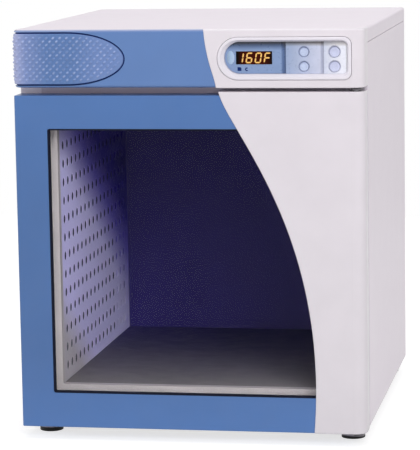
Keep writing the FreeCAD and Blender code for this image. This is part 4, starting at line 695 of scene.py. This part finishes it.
def pad_form(name, grow, face_depth, back_depth, edge, cell, bump, bump_height=0.0):
    """Closed mesh of the pad: a fine grid over its face, rounded edges and a flat back."""
    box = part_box("grip_pad")
    low, high = box
    middle = (low.z + high.z) / 2
    rise = (high.z - low.z) / 2 + grow
    reach = PAD_ROUND + grow
    start_round = pad_start_round(box)
    steps = max(2, round((start_round + grow) / cell))
    # edge profile: distance inward from the outline and depth below the face
    turns = [math.pi / 2 * step / EDGE_FACETS for step in range(EDGE_FACETS + 1)]
    profile = [(0.0, back_depth - face_depth)]
    profile += [(edge * (1 - math.cos(turn)), edge * (1 - math.sin(turn))) for turn in turns]
    columns = [(inset - grow, 0.0, depth) for inset, depth in profile]
    first = columns[-1][0]
    columns += [(first + (start_round - first) * step / steps, 0.0, 0.0)
                for step in range(1, steps + 1)]
    arc_steps = max(8, round(ROUND_ARC * reach / cell))
    columns += [(start_round, math.pi / 2 * step / arc_steps, 0.0)
                for step in range(1, arc_steps + 1)]
    rows = max(8, round(2 * rise / cell))

    mesh = bmesh.new()
    crest = mesh.verts.layers.float.new(CREST)
    grid = []
    for along, turn, end_depth in columns:
        line = []
        for row in range(rows + 2 * len(profile) - 1):
            if row < len(profile):
                inset, depth = profile[row]
                side = 1.0
            elif row >= rows + len(profile) - 1:
                inset, depth = profile[rows + 2 * len(profile) - 2 - row]
                side = -1.0
            else:
                inset, depth = edge, 0.0
                side = 1.0 - 2.0 * (row - len(profile) + 1) / rows
            z = side * (rise - inset) * math.cos(turn)
            s = along + (reach - inset) * math.sin(turn)
            sunk = face_depth + max(depth, end_depth)
            share = 0.0
            if bump is not None and depth == 0.0 and end_depth == 0.0:
                share = bump(s, z, s - start_round)
            x, y = pad_path(box, s, sunk - share * bump_height)
            point = mesh.verts.new((x, y, middle + z))
            point[crest] = share
            line.append(point)
        grid.append(line)
    for left, right in zip(grid, grid[1:]):
        for row in range(len(left) - 1):
            mesh.faces.new((left[row], left[row + 1], right[row + 1], right[row]))
    mesh.faces.new(list(reversed(grid[0])) + [grid[1][0], grid[1][-1]])
    for left, right in zip(grid[1:], grid[2:]):
        mesh.faces.new((left[-1], left[0], right[0], right[-1]))
    bmesh.ops.remove_doubles(mesh, verts=mesh.verts, dist=WELD)
    bmesh.ops.recalc_face_normals(mesh, faces=mesh.faces)
    for face in mesh.faces:
        face.smooth = len(face.verts) < 5
    data = bpy.data.meshes.new(name)
    mesh.to_mesh(data)
    mesh.free()
    piece = bpy.data.objects.new(name, data)
    bpy.context.scene.collection.objects.link(piece)
    return piece


def pad_start_round(box):
    """Where along the pad's section its elliptical end starts."""
    low, high = box
    side = high.y - low.y - PAD_CORNER
    return side + PAD_CORNER * math.pi / 2 + high.x - PAD_ROUND - low.x - PAD_CORNER


class CABINET_OT_paint_casing(bpy.types.Operator):
    """Powder coat, painted frame, screws, brackets and feet"""
    bl_idname = "cabinet.paint_casing"
    bl_label = "Casing finishes"

    def execute(self, context):
        paint_nodes(("white_powder_coat", "warm_grey_frame", "screw_steel", "bracket_steel",
                     "foot_plastic"))
        return {"FINISHED"}


class CABINET_OT_paint_front(bpy.types.Operator):
    """Blue and white mouldings of the header and the door"""
    bl_idname = "cabinet.paint_front"
    bl_label = "Front mouldings"

    def execute(self, context):
        paint_nodes(("blue_moulding", "white_moulding", "bezel_plastic"))
        return {"FINISHED"}


class CABINET_OT_paint_controls(bpy.types.Operator):
    """Films, keys, display and board of the control panel"""
    bl_idname = "cabinet.paint_controls"
    bl_label = "Control panel"

    def execute(self, context):
        paint_nodes(("display_blue", "key_panel_blue", "smoked_lens", "amber_figures",
                     "indicator_blue", "board_green", "black_plastic"))
        return {"FINISHED"}


class CABINET_OT_paint_door(bpy.types.Operator):
    """Glass, rubber and bushings of the door"""
    bl_idname = "cabinet.paint_door"
    bl_label = "Door fittings"

    def execute(self, context):
        paint_nodes(("glass", "black_rubber", "bushing_nylon"))
        return {"FINISHED"}


class CABINET_OT_paint_chamber(bpy.types.Operator):
    """Chamber sheets, insulation, fan, heater and electrics"""
    bl_idname = "cabinet.paint_chamber"
    bl_label = "Chamber and machinery"

    def execute(self, context):
        paint_nodes(("liner_enamel", "duct_enamel", "stainless_sheet", "galvanised_sheet",
                     "mineral_wool", "motor_steel", "impeller_aluminium", "supply_case",
                     "relay_body", "cable_sheath", "grip_rubber"))
        return {"FINISHED"}


class CABINET_OT_make_grip_pad(bpy.types.Operator):
    """Grip pad with its rows of slanted bumps, and the dark bed that shows in its groove as painted
    shade
    """
    bl_idname = "cabinet.make_grip_pad"
    bl_label = "Grip pad"

    def execute(self, context):
        grip = context.scene.cabinet.grip
        low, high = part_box("grip_pad")
        rise = (high.z - low.z) / 2

        def bump(along, z, beyond):
            """Share of a bump's height; bumps die away towards the edge and the round end."""
            level = round(z / grip.row_pitch)
            shift = 0.5 * (level % 2)
            place = along / grip.bump_pitch - shift
            near_s = (place - round(place)) * grip.bump_pitch
            near_z = z - level * grip.row_pitch
            along_slant = (near_s + near_z) * math.sqrt(0.5) / grip.bump_length
            across_slant = (near_s - near_z) * math.sqrt(0.5) / grip.bump_width
            share = along_slant * along_slant + across_slant * across_slant
            if share >= 1.0:
                return 0.0
            edge = math.hypot(max(0.0, beyond) / PAD_ROUND, z / rise)
            fade = 1.0 - smooth_step(*BUMP_FADE, edge)
            return (1.0 - share) ** BUMP_CROWN * fade

        pad = pad_form("grip_pad_textured", 0.0, 0.0, PAD_BACK, grip.edge_radius, grip.cell, bump,
                       grip.bump_height)
        pad.data.materials.append(MATERIALS["grip_rubber"])
        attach(pad, "casing")
        # the dark bed is painted shade in the groove round the pad
        bed = pad_form("grip_pad_shade_bed", BED_GROW, BED_FACE, BED_BACK, BED_EDGE, BED_CELL, None)
        bed.data.materials.append(MATERIALS["grip_shade_bed_and_marks"])
        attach(bed, "casing")
        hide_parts("grip_pad")
        return {"FINISHED"}


def plate_object(name, outline, y_front, y_back, bevel):
    """Small plate across the cabinet from a closed XZ outline, its front edge eased."""
    mesh = bmesh.new()
    front = [mesh.verts.new((x, y_front, z)) for x, z in outline]
    back = [mesh.verts.new((x, y_back, z)) for x, z in outline]
    face = mesh.faces.new(front)
    mesh.faces.new(list(reversed(back)))
    count = len(outline)
    for index in range(count):
        after = (index + 1) % count
        mesh.faces.new((front[index], back[index], back[after], front[after]))
    bmesh.ops.recalc_face_normals(mesh, faces=mesh.faces)
    bmesh.ops.bevel(mesh, geom=list(face.edges), offset=bevel, segments=2, affect="EDGES")
    data = bpy.data.meshes.new(name)
    mesh.to_mesh(data)
    mesh.free()
    piece = bpy.data.objects.new(name, data)
    bpy.context.scene.collection.objects.link(piece)
    return piece


MARK_LEFT, MARK_RIGHT = 86.9 * MM, 93.7 * MM        # sides of the square mark
MARK_BOTTOM, MARK_TOP = 649.7 * MM, 656.1 * MM
MARK_CLIP = 1.6 * MM            # its clipped corner
RING_X, RING_Z = 103.0 * MM, 652.4 * MM             # middle of the ring mark
RING_OUTER, RING_INNER = 3.1 * MM, 1.1 * MM
RING_FROM, RING_SWEEP = 50, 260                     # degrees; the rest of the ring is open
RING_FACETS = 20
MARK_PROUD = 0.15 * MM          # a mark stands this far out of the film
MARK_SUNK = 0.05 * MM           # and reaches this far into it
MARK_BEVEL = 0.03 * MM


class CABINET_OT_make_status_marks(bpy.types.Operator):
    """Two small raised status marks under the display window"""
    bl_idname = "cabinet.make_status_marks"
    bl_label = "Status marks"

    def execute(self, context):
        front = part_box("display_panel")[0].y
        # a filled square with a clipped corner, and an open ring
        square = ((MARK_LEFT, MARK_BOTTOM), (MARK_RIGHT, MARK_BOTTOM),
                  (MARK_RIGHT, MARK_TOP - MARK_CLIP), (MARK_RIGHT - MARK_CLIP, MARK_TOP),
                  (MARK_LEFT, MARK_TOP))
        turns = [math.radians(RING_FROM + RING_SWEEP * step / RING_FACETS)
                 for step in range(RING_FACETS + 1)]
        ring = [(RING_X + radius * math.cos(turn), RING_Z + radius * math.sin(turn))
                for radius, side in ((RING_OUTER, turns), (RING_INNER, reversed(turns)))
                for turn in side]
        for name, outline in (("status_mark_square", square), ("status_mark_ring", ring)):
            mark = plate_object(name, outline, front - MARK_PROUD, front + MARK_SUNK, MARK_BEVEL)
            mark.data.materials.append(MATERIALS["grip_shade_bed_and_marks"])
            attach(mark, "casing")
        return {"FINISHED"}


# ---- Stage -------------------------------------------------------------------------------

CAMERA_PLACE = Vector((0.76865, -4.33903, 0.96218))
CAMERA_AZIMUTH = math.radians(10.376)
CAMERA_ELEVATION = math.radians(8.086)
CAMERA_ROLL = math.radians(-0.938)
CAMERA_LENS = 190.53
CAMERA_SENSOR = 36.0
LAMP_TARGET = Vector((0.0, -0.1, 0.36))             # every lamp points here
FLOOR_CELLS = 8
FLOOR_LIFT = 0.68               # light of the paper itself, seen by background rays only


def background_rays(tree):
    """1 for rays that see the background: straight, in a mirror or through glass."""
    rays = add_node(tree, "ShaderNodeLightPath")
    mirrored = add_node(tree, "ShaderNodeMath", {"operation": "MAXIMUM"},
                        {0: (rays, "Is Camera Ray"), 1: (rays, "Is Glossy Ray")})
    return add_node(tree, "ShaderNodeMath", {"operation": "MAXIMUM"},
                    {0: mirrored, 1: (rays, "Is Transmission Ray")})


def make_floor(size):
    """Pale matt floor that stays white round the cabinet and keeps its shadow."""
    mesh = bmesh.new()
    bmesh.ops.create_grid(mesh, x_segments=FLOOR_CELLS, y_segments=FLOOR_CELLS, size=size / 2)
    data = bpy.data.meshes.new("studio_floor")
    mesh.to_mesh(data)
    mesh.free()
    floor = bpy.data.objects.new("studio_floor", data)
    bpy.context.scene.collection.objects.link(floor)
    material, tree, place = new_material("studio_paper_white")
    paper = add_node(tree, "ShaderNodeBsdfPrincipled",
                     {"Roughness": 0.9, "Specular IOR Level": 0.1},
                     {"Base Color": mottled(tree, place, "#BFBFBF", "#BDBDBD", 400.0)})
    lift = add_node(tree, "ShaderNodeMath", {"operation": "MULTIPLY", 1: FLOOR_LIFT},
                    {0: background_rays(tree)})
    glow = add_node(tree, "ShaderNodeEmission", {"Color": WHITE}, {"Strength": lift})
    both = add_node(tree, "ShaderNodeAddShader", {}, {0: paper, 1: glow})
    add_node(tree, "ShaderNodeOutputMaterial", {}, {"Surface": both})
    data.materials.append(material)


def make_world(ambient):
    """Even light from all round; the background itself is white."""
    world = bpy.data.worlds.new("studio_world")
    bpy.context.scene.world = world
    world.use_nodes = True
    tree = world.node_tree
    tree.nodes.clear()
    level = add_node(tree, "ShaderNodeMapRange", {"To Min": ambient, "To Max": 1.0},
                     {"Value": background_rays(tree)})
    sky = add_node(tree, "ShaderNodeBackground", {"Color": WHITE}, {"Strength": level})
    add_node(tree, "ShaderNodeOutputWorld", {}, {"Surface": sky})


def make_lamp(name, direction, distance, side, level, mirrored=False):
    """Square soft box. Level is the share of full light that a facing surface gets from it.

    Only a mirrored lamp shows as a highlight. The others light the pale top without glare.
    """
    data = bpy.data.lights.new(name, "AREA")
    data.shape = "SQUARE"
    data.size = side
    data.energy = level * (math.pi * distance) ** 2
    lamp = bpy.data.objects.new(name, data)
    lamp.location = LAMP_TARGET + Vector(direction).normalized() * distance
    lamp.rotation_mode = "QUATERNION"
    lamp.rotation_quaternion = Vector(direction).to_track_quat("Z", "Y")
    lamp.visible_glossy = mirrored
    lamp.visible_camera = False
    bpy.context.scene.collection.objects.link(lamp)


def make_camera():
    """Camera in front of the cabinet, slightly right of the door and a little above it."""
    back = Vector((math.sin(CAMERA_AZIMUTH) * math.cos(CAMERA_ELEVATION),
                   -math.cos(CAMERA_AZIMUTH) * math.cos(CAMERA_ELEVATION),
                   math.sin(CAMERA_ELEVATION)))
    right = Vector((math.cos(CAMERA_AZIMUTH), math.sin(CAMERA_AZIMUTH), 0.0))
    up = back.cross(right)
    turn, lean = math.cos(CAMERA_ROLL), math.sin(CAMERA_ROLL)
    columns = (turn * right + lean * up, turn * up - lean * right, back)
    data = bpy.data.cameras.new("studio_camera")
    data.lens = CAMERA_LENS
    data.sensor_width = CAMERA_SENSOR
    camera = bpy.data.objects.new("studio_camera", data)
    camera.matrix_world = Matrix.Translation(CAMERA_PLACE) @ Matrix(columns).transposed().to_4x4()
    bpy.context.scene.collection.objects.link(camera)
    bpy.context.scene.camera = camera


class CABINET_OT_make_stage(bpy.types.Operator):
    """Pale floor, white background, six soft lamps and the camera"""
    bl_idname = "cabinet.make_stage"
    bl_label = "Stage"

    def execute(self, context):
        stage = context.scene.cabinet.stage
        make_floor(stage.floor_size)
        make_world(stage.ambient)
        make_lamp("key_lamp", (0.36, -0.82, 0.43), 5.0, 2.0, stage.key_level)
        make_lamp("front_lamp", (0.1, -1.0, 0.04), 5.5, 1.6, stage.front_level)
        make_lamp("top_lamp", (-0.05, -0.1, 1.0), 4.5, 2.4, stage.top_level, True)
        make_lamp("left_lamp", (-0.93, -0.22, 0.3), 4.5, 2.4, stage.fill_level, True)
        make_lamp("right_lamp", (0.94, 0.12, 0.3), 4.5, 2.4,
                  stage.fill_level * stage.right_share, True)
        make_lamp("rear_lamp", (0.15, 0.9, 0.42), 4.5, 2.4, stage.back_level)
        make_camera()
        context.scene.view_settings.view_transform = "Standard"
        return {"FINISHED"}


class CABINET_PT_panel(bpy.types.Panel):
    """Cabinet pieces and settings"""
    bl_idname = "CABINET_PT_panel"
    bl_label = "Blanket warming cabinet"
    bl_space_type = "VIEW_3D"
    bl_region_type = "UI"
    bl_category = "Cabinet"

    def draw(self, context):
        settings = context.scene.cabinet
        for group in (settings.colours, settings.grip, settings.stage):
            box = self.layout.box()
            for name in group.bl_rna.properties.keys():
                if name not in ("rna_type", "name"):
                    box.prop(group, name)
        for operator in OPERATORS:
            self.layout.operator(operator.bl_idname)


OPERATORS = (CABINET_OT_paint_casing, CABINET_OT_paint_front, CABINET_OT_paint_controls,
             CABINET_OT_paint_door, CABINET_OT_paint_chamber, CABINET_OT_make_grip_pad,
             CABINET_OT_make_status_marks, CABINET_OT_make_stage)
CLASSES = (CabinetColours, GripSettings, StageSettings, CabinetSettings,
           *OPERATORS, CABINET_PT_panel)


def register():
    """Add the cabinet's classes and settings to Blender."""
    for each in CLASSES:
        bpy.utils.register_class(each)
    bpy.types.Scene.cabinet = PointerProperty(type=CabinetSettings)


def unregister():
    """Take them out again."""
    del bpy.types.Scene.cabinet
    for each in reversed(CLASSES):
        bpy.utils.unregister_class(each)


def main():
    """Build the scene."""
    register()
    MATERIALS.update(make_materials(bpy.context.scene.cabinet.colours))
    bpy.ops.cabinet.paint_casing()
    bpy.ops.cabinet.paint_front()
    bpy.ops.cabinet.paint_controls()
    bpy.ops.cabinet.paint_door()
    bpy.ops.cabinet.paint_chamber()
    bpy.ops.cabinet.make_grip_pad()
    bpy.ops.cabinet.make_status_marks()
    bpy.ops.cabinet.make_stage()


if __name__ == "__main__":
    main()
